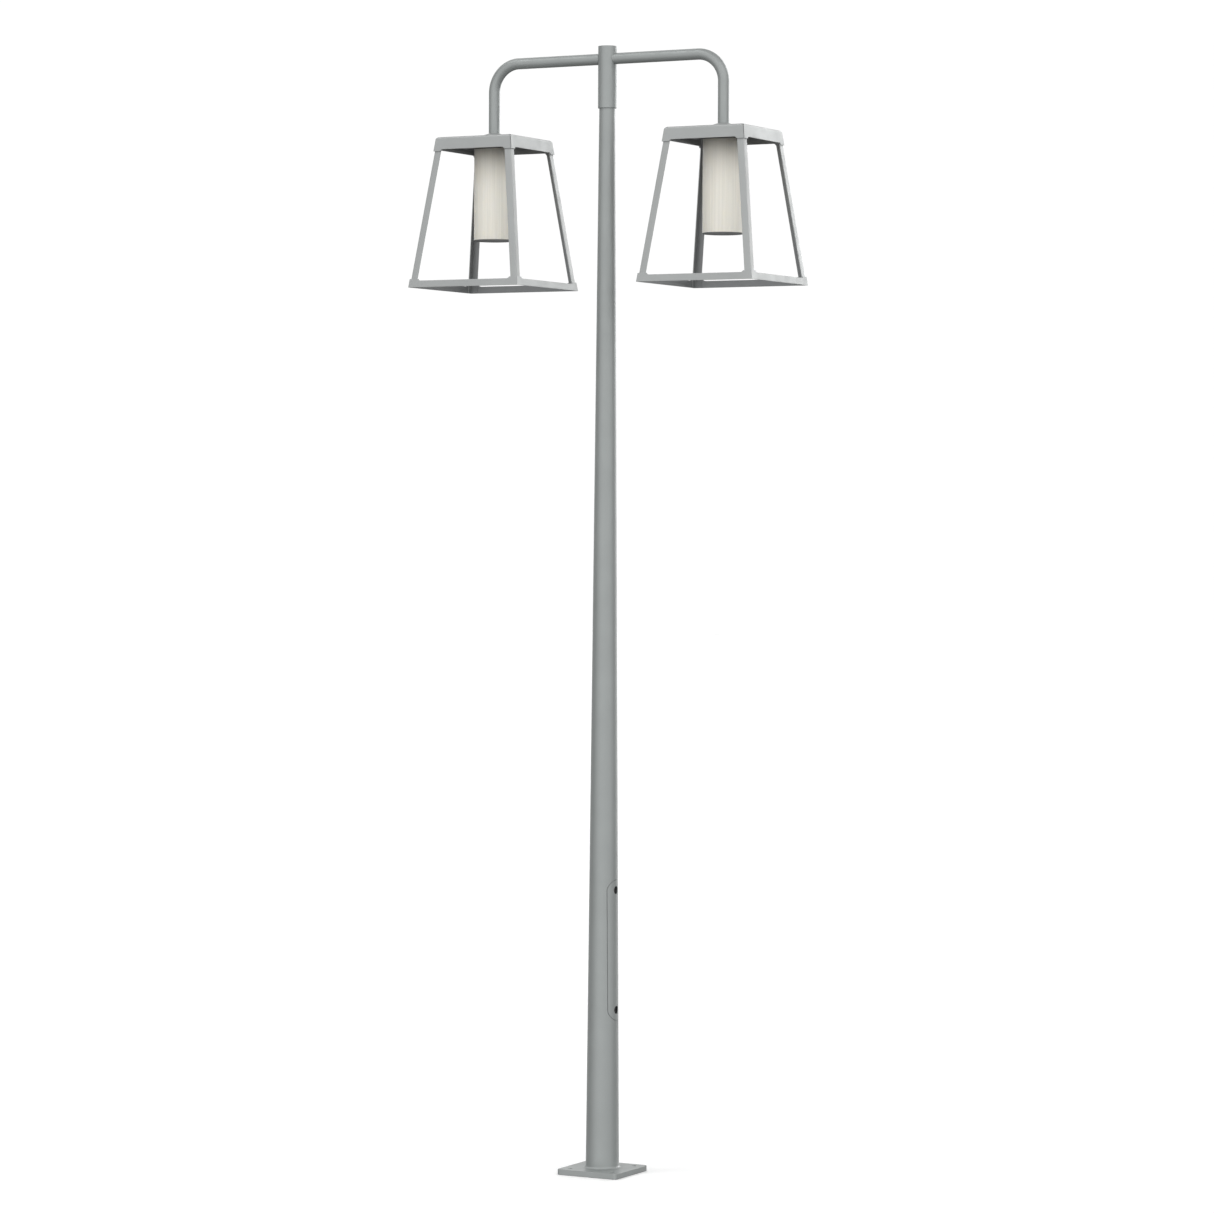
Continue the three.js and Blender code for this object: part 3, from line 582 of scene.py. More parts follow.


def opal(name, colour):
    """Milky plastic: light goes a little way into it, and it is drawn in faint upright streaks.
    It darkens towards its upper end: painted shade, standing for the shadow that the cap, and the
    holder and heat sink under it, cast there."""
    made, tree, shader = shader_of(name, colour, roughness=0.42)
    shader.inputs["Subsurface Weight"].default_value = 0.25
    shader.inputs["Subsurface Radius"].default_value = (1.0, 0.85, 0.6)
    shader.inputs["Subsurface Scale"].default_value = 6 * MM
    streaks = noise(tree, object_place(tree, (1, 1, 0.02)), scale=160, detail=3)
    shade = tinted(tree, shader, spread(tree, streaks, 0.0, 1.0), colour, 0.94, 1.04)
    axes = add_node(tree, "ShaderNodeSeparateXYZ")
    tree.links.new(object_place(tree), axes.inputs["Vector"])
    painted_top_shade = spread(tree, axes.outputs["Z"], 0.0, 1.0, *OPAL_PAINTED_SHADE)
    squared = reckoned(tree, "MULTIPLY", painted_top_shade, painted_top_shade)
    # the darker colour mixed in near the top is painted shade
    tree.links.new(mixed(tree, squared, shade, scaled(colour, 0.55)), shader.inputs["Base Color"])
    tree.links.new(spread(tree, streaks, 0.38, 0.47), shader.inputs["Roughness"])
    bump(tree, shader, streaks, strength=0.08, distance=0.2 * MM)
    return made


def circuit_board(name, colour):
    """White solder mask, slightly mottled, with a faint weave of glass cloth under it."""
    made, tree, shader = shader_of(name, colour, roughness=0.5)
    place = object_place(tree)
    weave = add_node(tree, "ShaderNodeTexChecker", {"Scale": 700.0})
    tree.links.new(place, weave.inputs["Vector"])
    clouds = spread(tree, noise(tree, place, scale=60), 0.0, 1.0)
    tinted(tree, shader, clouds, colour, 0.93, 1.02)
    tree.links.new(spread(tree, clouds, 0.45, 0.55), shader.inputs["Roughness"])
    bump(tree, shader, weave.outputs["Fac"], strength=0.05, distance=0.05 * MM)
    return made


SLOT_FINISH = {
    "column_paint": powder_coat("column paint", (0.300, 0.318, 0.314), 0.44, 0.25),
    # the lantern's sheets take painted shade on their inner faces
    "lantern_paint": powder_coat("lantern paint", (0.345, 0.357, 0.355), 0.38, 0.30,
                                 painted_inner_shade=(0.20, 0.207, 0.21)),
    "zinc_plate": galvanised("zinc plate", (0.60, 0.61, 0.60)),
    "lock_steel": brushed("blackened steel", (0.075, 0.075, 0.076), 0.42, (1, 0.05, 1)),
    "heat_sink_aluminium": brushed("heat sink aluminium", (0.70, 0.71, 0.72), 0.38, (1, 1, 0.05)),
    "opal_diffuser": opal("opal diffuser", (0.865, 0.83, 0.742)),
    "grey_moulding": moulded("grey moulding", (0.15, 0.152, 0.15), 0.55, grain=1200),
    "black_moulding": moulded("black moulding", (0.022, 0.022, 0.022), 0.5, grain=1200),
    "white_board": circuit_board("white board", (0.80, 0.80, 0.77)),
}


# ---- Base plate, weld and column ----


def base_plate():
    """A flat square sheet with rounded corners, four anchor holes and a cable hole, thickened
    downwards by the plate's thickness."""
    anchor, cable = ANCHOR_HOLE_R + ANCHOR_MARGIN, CABLE_HOLE_R + CABLE_MARGIN
    breaks = np.array([cable, ANCHOR_AT - anchor, ANCHOR_AT + anchor,
                       PLATE_HALF - PLATE_CORNER_R, PLATE_HALF])
    across = samples(mirrored(breaks), [8, 2, 12, 3, 40, 3, 12, 2, 8])
    holes = [round_hole((0, 0), cable, CABLE_HOLE_R)]
    for x in (-ANCHOR_AT, ANCHOR_AT):
        for y in (-ANCHOR_AT, ANCHOR_AT):
            holes.append(round_hole((x, y), anchor, ANCHOR_HOLE_R))
    bend = corners_rounded(PLATE_HALF, PLATE_HALF, PLATE_CORNER_R)
    return shell(placed(pierced(across, across, holes, bend), level(PLATE_TOP), level(0.0)))


def foot_weld():
    """A ring whose outer side is a hollow quarter circle, laid down in ripples: the radius
    rises and falls a little with the angle, most in the middle of the bead, where each ripple
    also trails a little behind its ends."""
    bottom, size = COLUMN_BOTTOM, WELD_SIZE
    bore = column_r(bottom) + TOUCH
    turn = np.linspace(0, math.pi / 2, 11)
    radius = np.concatenate([[bore], bore + size * (1 - np.sin(turn)), [bore]])[:, None]
    height = np.concatenate([[bottom], bottom + size * (1 - np.cos(turn)), [bottom]])[:, None]
    share = np.concatenate([[0], np.sin(2 * turn), [0]])[:, None]
    angle = np.linspace(0, TURN, WELD_RIPPLES * 6 + 1)[None]
    wave = abs(np.sin((angle * WELD_RIPPLES + WELD_TRAIL * share ** 2) / 2))
    return closed(polar(radius + share * WELD_RIPPLE * (wave - 0.5) * 2, angle, height))


def on_column(inset):
    """Wraps (angle, height) round the column, inset from its outside."""
    return lambda points: polar(column_r(points[..., 1]) - inset, points[..., 0], points[..., 1])


def column():
    """A cone's wall from the base plate to inside the sleeve, with a round-ended opening that
    is as wide everywhere, seen along X, as the door and its gap."""
    radius = DOOR_HALF + DOOR_GAP
    ends = DOOR_LOW + DOOR_HALF, DOOR_HIGH - DOOR_HALF
    block = (-OPENING_REACH, OPENING_REACH, DOOR_LOW - OPENING_MARGIN, DOOR_HIGH + OPENING_MARGIN)

    def rim(edge):
        spine = np.clip(edge[:, 1], *ends)
        away = np.stack([edge[:, 0] * column_r(spine), edge[:, 1] - spine], axis=-1)
        away = radius * away / np.linalg.norm(away, axis=-1, keepdims=True)
        z = spine + away[:, 1]
        return np.stack([np.arcsin(away[:, 0] / column_r(z)), z], axis=-1)

    angles = samples(np.array([-math.pi, *block[:2], math.pi]), [30, 40, 30])
    heights = samples(np.array([COLUMN_BOTTOM, block[2], *ends, block[3], COLUMN_TOP]),
                      [6, 12, 24, 12, 12])
    flat = pierced(angles, heights, [(block, rim)], rows=6)
    return shell(placed(flat, on_column(0.0), on_column(COLUMN_WALL)))


# ---- Door and locks ----


def access_door():
    """A round-ended panel on the column's surface with a round hole at each lock; its outline
    and holes are true seen along X."""
    centre, half = (DOOR_LOW + DOOR_HIGH) / 2, (DOOR_HIGH - DOOR_LOW) / 2
    reach = LOCK_HOLE_R + LOCK_HOLE_MARGIN
    z0, z1 = (high(f"{name}_lock_screw")[2] - LOCK_HEAD_R - centre for name in LOCK_NAMES)
    holes = [round_hole((0, z), reach, LOCK_HOLE_R) for z in (z0, z1)]
    across = samples(np.array([-DOOR_HALF, -reach, reach, DOOR_HALF]), [8, 20, 8])
    up = samples(np.array([-half, z0 - reach, z0 + reach, z1 - reach, z1 + reach, half]),
                 [8, 20, 24, 20, 8])

    def on_face(depth):
        def place(points):
            z = points[..., 1] + centre
            return polar(column_r(z) - depth, np.arcsin(points[..., 0] / column_r(z)), z)
        return place

    bend = corners_rounded(DOOR_HALF, half, DOOR_HALF)
    return shell(placed(pierced(across, up, holes, bend), on_face(0.0), on_face(COLUMN_WALL)))


def lock_cup(name):
    """A cup turned about X: its mouth follows the door's inner face, so the mouth's points
    stand at the depth that the column's curve gives them."""
    z = middle(f"{name}_lock_screw")[2]
    back = low(f"{name}_lock_cup")[0]
    floor, mouth = back + LOCK_CUP_WALL, 1.0
    hole, edge = LOCK_SHANK_R + LOCK_SHANK_GAP, 0.6 * MM
    inner, outer = LOCK_HOLE_R, LOCK_HOLE_R + LOCK_CUP_WALL
    profile = rounded([(hole, back, edge), (outer, back, 1.5 * MM), (outer, mouth, 0),
                       (inner, mouth, 0), (inner, floor, 1.2 * MM), (hole, floor, edge)], loop=True)
    across = polar(profile[:, :1], np.linspace(0, TURN, ROUND + 1), profile[:, 1:])
    y, up, x = across[..., 0], z + across[..., 1], across[..., 2]
    face = np.sqrt((column_r(up) - COLUMN_WALL - TOUCH) ** 2 - y ** 2)
    return closed(np.stack([np.where(x > mouth / 2, face, x), y, up], axis=-1))


def slotted_head(radius, thickness, slot, depth):
    """A disc with a straight slot across it: the top is a grid of chords parallel to the slot,
    lowered between the slot's two sides; the bottom is the same grid, flat."""
    far = np.linspace(0, math.pi / 2, 13)[:-1]
    edge = math.asin(slot / 2 / radius)
    far = edge + (math.pi / 2 - edge) * far / (math.pi / 2)
    away = radius * np.sin(np.concatenate([far, [math.pi / 2]]))
    rows = np.concatenate([-away[::-1], [-slot / 2, slot / 2], away])
    sunk = np.concatenate([np.zeros(len(away)), [1, 1], np.zeros(len(away))])
    half = np.sqrt(np.maximum(radius ** 2 - rows ** 2, 0))
    share = np.cos(np.linspace(math.pi, 0, 17))
    u = half[:, None] * share
    v = np.repeat(rows[:, None], len(share), axis=1)
    top = np.repeat((thickness - depth * sunk)[:, None], len(share), axis=1)
    upper = np.stack([u, v, top], axis=-1)
    lower = np.stack([u, v, np.zeros_like(u)], axis=-1)
    return shell([(upper, lower, None)])


def lock_screw(name):
    """A slotted head with a plain shank behind it."""
    node = f"{name}_lock_screw"
    seat = high(node)[0] - LOCK_HEAD_THICKNESS
    tip = low(node)[0] - seat
    head = slotted_head(LOCK_HEAD_R, LOCK_HEAD_THICKNESS, LOCK_SLOT, LOCK_HEAD_THICKNESS / 2)
    shank = turned(rounded([(0, tip, 0), (LOCK_SHANK_R, tip, 0.8 * MM), (LOCK_SHANK_R, 0, 0),
                            (0, 0, 0)]), 32)
    return onto(together(head, shank), ALONG_X, (seat, 0, middle(node)[2]))


# ---- Sleeve and arms ----


def top_sleeve():
    """A closed tube: its section's height is run through as one value, first up the wall, then
    round the top edge and in to the axis. Grub-screw holes are at +Y, cable ways at each arm."""
    arc = np.linspace(0, math.pi / 2, ARC_STEPS + 1)
    shoulder = SLEEVE_HIGH - SLEEVE_EDGE
    run = np.concatenate([[SLEEVE_LOW, shoulder], shoulder + SLEEVE_EDGE * arc[1:],
                          [SLEEVE_HIGH + SLEEVE_R]])
    outer_r = np.concatenate([[SLEEVE_R], SLEEVE_R - SLEEVE_EDGE * (1 - np.cos(arc)), [0]])
    outer_z = np.concatenate([[SLEEVE_LOW], SLEEVE_HIGH - SLEEVE_EDGE * (1 - np.sin(arc)),
                              [SLEEVE_HIGH]])
    ceiling = SLEEVE_HIGH - SLEEVE_TOP_THICKNESS
    inner_r = np.concatenate([np.full(ARC_STEPS + 2, SLEEVE_BORE_R), [0]])
    inner_z = np.concatenate([[SLEEVE_LOW], np.full(ARC_STEPS + 2, ceiling)])

    def section(radii, heights):
        def place(points):
            angle, at = points[..., 0], points[..., 1]
            return polar(np.interp(at, run, radii), angle, np.interp(at, run, heights))
        return place

    quarter = math.pi / 2
    reach, tall = GRUB_HOLE_REACH, GRUB_HOLE_MARGIN
    wide, high_block = CABLE_WAY_REACH, CABLE_WAY_MARGIN
    grubs = [middle(f"sleeve_grub_screw_{i}")[2] for i in (1, 2)]
    rounds = [(quarter, z, reach, tall, GRUB_HOLE_R) for z in grubs]
    rounds += [(angle, ARM_Z, wide, high_block, ARM_R - ARM_WALL) for angle in (0, math.pi)]
    holes = [((angle - du, angle + du, z - dv, z + dv), round_on_tube(angle, z, radius, SLEEVE_R))
             for angle, z, du, dv, radius in rounds]
    angles = samples(np.array([-wide, wide, quarter - reach, quarter + reach, math.pi - wide,
                               math.pi + wide, TURN - wide]), [20, 6, 12, 6, 20, 20])
    g0, g1 = grubs
    heights = samples(np.array([SLEEVE_LOW, g0 - tall, g0 + tall, g1 - tall, g1 + tall,
                                ARM_Z - high_block, ARM_Z + high_block]), [2, 10, 3, 10, 3, 16])
    heights = np.concatenate([heights, run[1:-1], np.linspace(run[-2], run[-1], 6)[1:]])
    return shell(placed(pierced(angles, heights, holes),
                        section(outer_r, outer_z), section(inner_r, inner_z)))


def round_on_tube(angle, z, radius, tube_r):
    """The rim of a round hole bored square into a tube, in (angle, height)."""
    def rim(edge):
        away = np.stack([(edge[:, 0] - angle) * tube_r, edge[:, 1] - z], axis=-1)
        away = radius * away / np.linalg.norm(away, axis=-1, keepdims=True)
        return np.stack([angle + np.arcsin(away[:, 0] / tube_r), z + away[:, 1]], axis=-1)
    return rim


def grub_screw(number):
    """A set screw with a hexagon socket, pointing in along -Y."""
    node = f"sleeve_grub_screw_{number}"
    point, end = low(node)[1], high(node)[1]
    outside = rounded([(0, point, 0), (GRUB_R, point, 0.8 * MM), (GRUB_R, end, 0.5 * MM),
                       (GRUB_SOCKET_R, end, 0)])
    floor = end - GRUB_SOCKET_DEPTH
    inside = [(GRUB_SOCKET_R, end), (GRUB_SOCKET_R, floor), (0, floor - 0.6 * MM)]
    solid = turned(np.concatenate([outside[:-1], inside]), 36, hexagonal=slice(-3, -1))
    return onto(solid, ALONG_Y, (0, 0, middle(node)[2]))


def arm(side):
    """A tube carried along a line that goes straight out, turns down through a quarter circle
    and goes straight down. Its inner end follows the sleeve's round side."""
    bend_x, bend_z = ARM_REACH - ARM_BEND_R, ARM_Z - ARM_BEND_R
    along = samples(np.array([0.0, 1.0, 2.0, 3.0]), [4, 36, 4])
    angles = np.linspace(0, TURN, ROUND + 1)

    def tube(radius):
        def place(points):
            angle, t = points[..., 0], points[..., 1]
            start = np.sqrt((SLEEVE_R + TOUCH) ** 2 - (radius * np.sin(angle)) ** 2)
            turn = np.clip(t - 1, 0, 1) * math.pi / 2
            straight_x = start + (bend_x - start) * np.clip(t, 0, 1)
            x = np.where(t <= 1, straight_x, bend_x + ARM_BEND_R * np.sin(turn))
            z = np.where(t <= 2, bend_z + ARM_BEND_R * np.cos(turn),
                         bend_z + (ARM_END - bend_z) * np.clip(t - 2, 0, 1))
            out = radius * np.cos(angle)
            return np.stack([side * (x + out * np.sin(turn)), radius * np.sin(angle),
                             z + out * np.cos(turn)], axis=-1)
        return place

    return shell(placed([(grid(angles, along), None)], tube(ARM_R), tube(ARM_R - ARM_WALL)))


# ---- Lantern: every function works about the lantern's axis, with heights from the roof down ----


def fillet_run(clear, width):
    """Places along a wall from where a fillet starts to where it ends, at equal angles."""
    return clear - width + width * np.sin(np.linspace(0, math.pi / 2, 11))


def fillet_share(y, clear, width):
    """How much of its rise a quarter-ellipse fillet has made at a place along the wall."""
    x = np.clip((abs(y) - (clear - width)) / width, 0, 1)
    return 1 - np.sqrt(1 - x ** 2)


def mirrored(values):
    return np.concatenate([-values[::-1], values])


def four_sides(outer, inner):
    """The same patch on each of a square's four sides."""
    patches = []
    for quarter in range(4):
        c, s = round(math.cos(quarter * math.pi / 2)), round(math.sin(quarter * math.pi / 2))
        spin = np.array([[c, s, 0], [-s, c, 0], [0, 0, 1]])
        patches.append((outer @ spin, inner @ spin, None))
    return patches


def roof_cap(sign):
    """A folded tray. The roof is a flat sheet; each wall is a profile carried along one edge of
    it: a bend of a quarter circle less the splay, then a straight slope to an edge that drops
    lower at the corners. Each row of a wall ends short of the corner by the slit, or by the
    relief hole's half width in the bend."""
    flat = lantern_half(0.0) - ROOF_BEND_R / math.cos(SPLAY_ANGLE) + ROOF_BEND_R * SPLAY
    widest = lantern_half(CAP_DEPTH)
    clear = widest - CAP_LUG_WIDTH
    near, far = 26 * MM, 91 * MM  # the edges of the finer cells round the nipple and the screw
    fillet = fillet_run(clear, CAP_LUG_FILLET) / widest * flat
    half_run = samples(np.array([near, far, fillet[0]]), [4, 4])
    half_run = np.concatenate([half_run, fillet[1:], np.linspace(fillet[-1], flat, 5)[1:]])
    across = np.sort(np.concatenate([mirrored(half_run), np.linspace(-near, near, 17)[1:-1]]))
    screw = ROOF_SCREW_AT * sign
    rows = (-fillet[0], -far) if screw[1] < 0 else (far, fillet[0])
    holes = [round_hole((0, 0), near, high("right_nipple")[1] + NIPPLE_GAP),
             ((-near, near, *rows), toward(screw, ROOF_SCREW_HOLE_R))]
    roof = placed(pierced(across, across, holes), level(0.0), level(-SHEET))

    turn = np.linspace(0, math.pi / 2 - SPLAY_ANGLE, 15)
    arc = ROOF_BEND_R * turn
    relief = np.sqrt(np.maximum(RELIEF_R ** 2 - (arc - arc[-1] / 2) ** 2, 0))
    cut = np.maximum(relief, CAP_SEAM)
    cut[0] = 0
    share = across / flat
    lug = fillet_share(share * widest, clear, CAP_LUG_FILLET)
    lower = CAP_DEPTH + (CAP_LUG_DEPTH - CAP_DEPTH) * lug
    start = ROOF_BEND_R * (1 - np.cos(turn[-1]))
    drop = start + (lower[None] - start) * np.linspace(0, 1, 7)[1:, None]
    ends = np.concatenate([cut, np.full(len(drop), CAP_SEAM)])[:, None]

    def wall(radius, inset):
        bend_h = (flat + radius * np.sin(turn))[:, None] + 0 * share
        bend_z = (-ROOF_BEND_R + radius * np.cos(turn))[:, None] + 0 * share
        h = np.concatenate([bend_h, lantern_half(drop) - inset / math.cos(SPLAY_ANGLE)])
        return np.stack([h, share * (h - ends), np.concatenate([bend_z, -drop])], axis=-1)

    return shell(roof + four_sides(wall(ROOF_BEND_R, 0.0), wall(ROOF_BEND_R - SHEET, SHEET)))


def bottom_frame():
    """A square band of four sloping walls. Its upper edge rises to a collar at each corner."""
    widest = lantern_half(LANTERN_HEIGHT - COLLAR_HEIGHT)
    clear = widest - COLLAR_WIDTH
    fillet = fillet_run(clear, COLLAR_FILLET)
    half_run = np.concatenate([np.linspace(0, fillet[0], 8)[1:], fillet[1:],
                               np.linspace(fillet[-1], widest, 5)[1:]]) / widest
    share = np.concatenate([-half_run[::-1], [0], half_run])
    collar = fillet_share(share * widest, clear, COLLAR_FILLET)
    tall = BAND_HEIGHT + (COLLAR_HEIGHT - BAND_HEIGHT) * collar
    drop = LANTERN_HEIGHT - tall[None] * np.linspace(0, 1, 4)[:, None]

    def wall(inset):
        h = lantern_half(drop) - inset
        return np.stack([h, share * h, -drop], axis=-1)

    return shell(four_sides(wall(0.0), wall(SHEET)))


def leg(x_side, y_side):
    """An equal angle, folded from sheet with a small heel radius, that leans out along X and Y
    alike as it goes down."""
    top, bottom = SHEET + TOUCH, LANTERN_HEIGHT - LEG_END_GAP
    heel = lantern_half(0.0) - LEG_INSET
    toe, inside = heel - LEG_FLANGE, heel - LEG_THICKNESS
    outer = rounded([(toe, heel, 0), (heel, heel, LEG_HEEL_R), (heel, toe, 0)])
    inner = rounded([(toe, inside, 0), (inside, inside, LEG_INNER_R), (inside, toe, 0)])
    drops = np.linspace(top, bottom, 5)[:, None]

    def face(path):
        x = path[None, :, 0] + SPLAY * drops
        y = path[None, :, 1] + SPLAY * drops
        return np.stack([x_side * x, y_side * y, -drops + 0 * x], axis=-1)

    return shell([(face(outer), face(inner), None)])


def diffuser(radius, bottom, top):
    """A tube whose outside is fluted into upright convex ribs: across each rib the radius
    follows a circle's arc and dips to a sharp valley on either side."""
    angle = np.linspace(0, TURN, RIBS * 8 + 1)
    place = (angle * RIBS / TURN) % 1 * 2 - 1
    place[-1] = -1
    dip = RIB_DEPTH * (1 - np.sqrt(1 - RIB_ROUNDNESS * place ** 2))
    turn = np.linspace(0, math.pi / 2, 5)
    rise, pull = DIFFUSER_EDGE * (1 - np.sin(turn)), DIFFUSER_EDGE * (1 - np.cos(turn))
    z = np.concatenate([bottom + rise[::-1], top - rise])[:, None]
    outer = polar(radius - dip[None] - np.concatenate([pull[::-1], pull])[:, None], angle, z)
    return shell([(outer, polar(radius - DIFFUSER_WALL, angle, z), None)])


def rosette(radius, bottom, top):
    """A turned cover round the arm's end: an upright edge, then a low cone up to the tube."""
    bore = ARM_R + 0.5 * MM
    corners = [(bore, bottom, 0), (radius, bottom, 0.4 * MM),
               (radius, bottom + ROSETTE_EDGE, 1.6 * MM), (bore + 1 * MM, top, 0.8 * MM),
               (bore, top, 0), (bore, bottom, 0)]
    return turned(rounded(corners), FINE_ROUND)


def end_cap(radius, bottom, top, spigot_r):
    """A flat disc with a shallow dished underside and a raised disc that fits into the tube."""
    seat, dish = bottom + END_CAP_FLANGE, bottom + END_CAP_DISH
    corners = [(0, dish, 0), (radius - 9 * MM, dish, 2 * MM), (radius - 7 * MM, bottom, 2 * MM),
               (radius, bottom, 1 * MM), (radius, seat, 0.4 * MM), (spigot_r, seat, 0),
               (spigot_r, top, 0.8 * MM), (0, top, 0)]
    return turned(rounded(corners), FINE_ROUND)


def dome_screw(radius, bottom, top, head_bottom, shank_r):
    """A button-head screw: a dome with a hexagon socket, and a plain shank."""
    turn = np.linspace(0, 1.2, 9)
    height = (top - head_bottom) / math.sin(turn[-1])
    dome = np.stack([radius * np.cos(turn), head_bottom + height * np.sin(turn)], axis=-1)
    socket = 0.42 * radius
    dome[-1, 0] = 1.12 * socket
    inside = [(socket, top + 0.02 * MM), (socket, top - 1.6 * MM), (0, top - 2.1 * MM)]
    shank = rounded([(0, bottom, 0), (shank_r, bottom, 0.6 * MM), (shank_r, head_bottom, 0),
                     (radius, head_bottom, 0)])
    return turned(np.concatenate([shank[:-1], dome, inside]), hexagonal=slice(-3, -1))


def hex_nut(radius, bore, bottom, top):
    """A hexagon nut whose corners are cut back by a turned chamfer at both faces."""
    chamfer = 1.2 * MM
    flat = radius * math.cos(math.pi / 6) - chamfer
    rows = np.array([(bore, bottom), (flat, bottom), (radius, bottom + 2 * chamfer),
                     (radius, top - 2 * chamfer), (flat, top), (bore, top), (bore, bottom)])
    return turned(rows, 72, hexagonal=slice(2, 4))


def heat_sink(radius, bottom, top):
    """A turned plate with turned posts that stand on it in a ring."""
    face = bottom + HEAT_SINK_PLATE
    plate = rounded([(0, bottom, 0), (radius, bottom, 0.8 * MM), (radius, face, 0.8 * MM),
                     (0, face, 0)])
    post = rounded([(0, face, 0), (HEAT_SINK_POST_R, face, 0), (HEAT_SINK_POST_R, top, 0.4 * MM),
                    (0, top, 0)])
    turns = [i * TURN / HEAT_SINK_POSTS for i in range(HEAT_SINK_POSTS)]
    centres = [(HEAT_SINK_POST_AT * math.cos(t), HEAT_SINK_POST_AT * math.sin(t)) for t in turns]
    return together(turned(plate, FINE_ROUND), *(turned(post, 24, centre=c) for c in centres))


def rounded_box(lo, hi, corner_r):
    """An upright box with rounded upright corners: a flat sheet over its plan, thickened."""
    centre, half = (lo + hi) / 2, (hi - lo) / 2
    u, v = (samples(mirrored(np.array([h - corner_r, h])), [6, 8, 6]) for h in half[:2])
    points = corners_rounded(*half[:2], corner_r)(grid(u, v)) + centre[:2]
    return shell([(level(hi[2])(points), level(lo[2])(points), None)])


# ---- Putting the post together ----

def add_post():
    def add(name, solid, *replaced, bevel=0.0):
        piece(name, solid, "column_paint", "post", replaced, bevel)

    add("square_base_plate", base_plate(), "base_plate", bevel=PLATE_EDGE)
    add("base_weld", foot_weld(), "foot_weld")
    add("tapered_column", column(), "column_foot", "column_shaft", bevel=0.5 * MM)
    add("sleeve", top_sleeve(), "top_sleeve", bevel=0.4 * MM)
    for number in (1, 2):
        piece(f"grub_screw_{number}", grub_screw(number), "lock_steel", "post",
              [f"sleeve_grub_screw_{number}"])
    add("right_bent_arm", arm(1), "right_arm", bevel=0.4 * MM)
    add("left_bent_arm", arm(-1), "left_arm", bevel=0.4 * MM)
    piece("door_panel", access_door(), "column_paint", "door", ["access_door"], bevel=0.5 * MM)
    for name in LOCK_NAMES:
        piece(f"{name}_lock_recess", lock_cup(name), "black_moulding", "door",
              [f"{name}_lock_cup"])
        piece(f"{name}_slotted_lock", lock_screw(name), "lock_steel", f"{name}_lock",
              [f"{name}_lock_screw"], bevel=0.35 * MM)


def add_lantern(side, sign):
    """One lantern. Each piece is worked out about the lantern's axis, with its heights from the
    roof down, and is then moved there."""
    axis = (sign * ARM_REACH, 0, ROOF_Z)
    unit = f"{side}_diffuser_unit"

    def size(node):
        """A node's radius, bottom and top."""
        lo, hi = low(f"{side}_{node}"), high(f"{side}_{node}")
        return (hi[1] - lo[1]) / 2, lo[2] - ROOF_Z, hi[2] - ROOF_Z

    def add(name, solid, slot, node, body="post", **finish):
        piece(f"{side}_{name}", moved(solid, axis), slot, body, [f"{side}_{node}"], **finish)

    # a sheet of the lantern, whose inner faces take painted shade
    def add_sheet(name, solid, node, bevel):
        add(name, solid, "lantern_paint", node, bevel=bevel, shaded_inside=True)

    add("arm_rosette", rosette(*size("rosette")), "lantern_paint", "rosette")
    add_sheet("folded_cap", roof_cap(sign), "roof_cap", 0.3 * MM)
    add_sheet("foot_band", bottom_frame(), "bottom_frame", 0.9 * MM)
    for corner, x_side, y_side in (("back_right", 1, 1), ("back_left", -1, 1),
                                   ("front_left", -1, -1), ("front_right", 1, -1)):
        add_sheet(f"angle_{corner}", leg(x_side, y_side), f"leg_{corner}", 0.5 * MM)
    diffuser_r = size("diffuser")[0]
    add("ribbed_diffuser", diffuser(*size("diffuser")), "opal_diffuser", "diffuser", unit)
    cap = end_cap(*size("diffuser_end_cap"), diffuser_r - DIFFUSER_WALL - SPIGOT_GAP)
    add("diffuser_cap", cap, "grey_moulding", "diffuser_end_cap", unit)

    radius, bottom, top = size("roof_screw")
    screw = dome_screw(radius, bottom, top - 0.1 * MM, TOUCH, ROOF_SCREW_R)
    add("cap_screw", moved(screw, (*ROOF_SCREW_AT * sign, 0)), "zinc_plate", "roof_screw")
    tube_r = size("nipple")[0]
    bore = tube_r + NIPPLE_GAP
    for name, slot, node, inner, edge, around in (
            ("diffuser_holder", "grey_moulding", "holder_ring", diffuser_r + HOLDER_GAP,
             0.6 * MM, FINE_ROUND),
            ("threaded_tube", "zinc_plate", "nipple", tube_r - NIPPLE_WALL, 0.6 * MM, ROUND),
            ("roof_spacer", "zinc_plate", "spacer", bore, 0.4 * MM, ROUND)):
        add(name, ring(inner, *size(node), edge, around), slot, node)
    corner_r = max((high(f"{side}_lock_nut") - low(f"{side}_lock_nut"))[:2]) / 2
    nut = hex_nut(corner_r, bore, *size("lock_nut")[1:])
    add("hexagon_nut", nut, "zinc_plate", "lock_nut")
    add("lamp_heat_sink", heat_sink(*size("heat_sink")), "heat_sink_aluminium", "heat_sink")
    radius, bottom, top = size("led_board")
    disc = rounded([(0, bottom, 0), (radius, bottom, 0.2 * MM), (radius, top, 0.2 * MM),
                    (0, top, 0)])
    add("lamp_board", turned(disc, FINE_ROUND), "white_board", "led_board")
    box = rounded_box(low(f"{side}_driver") - axis, high(f"{side}_driver") - axis, DRIVER_CORNER_R)
    add("lamp_driver", box, "black_moulding", "driver", bevel=1.5 * MM)


add_post()
add_lantern("right", 1)
add_lantern("left", -1)

KEPT = {
    "zinc_plate": ["lower_lock_bar", "upper_lock_bar", "equipment_rail", "earth_stud",
                   "right_gear_plate", "left_gear_plate"],
    "grey_moulding": ["fused_cut_out"],
    "black_moulding": ["fuse_carrier"],
}
for slot_name, node_names in KEPT.items():
    for node_name in node_names:
        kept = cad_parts[node_name]
        kept.data.materials.clear()
        kept.data.materials.append(SLOT_FINISH[slot_name])

# ---- Floor, light and camera ----

FLOOR_HALF = 60.0
FLOOR_WHITE = (0.98, 0.98, 0.98)
FLOOR_GLOW = 0.09
FLOOR_DROP = 0.5 * MM  # below the base plate's underside


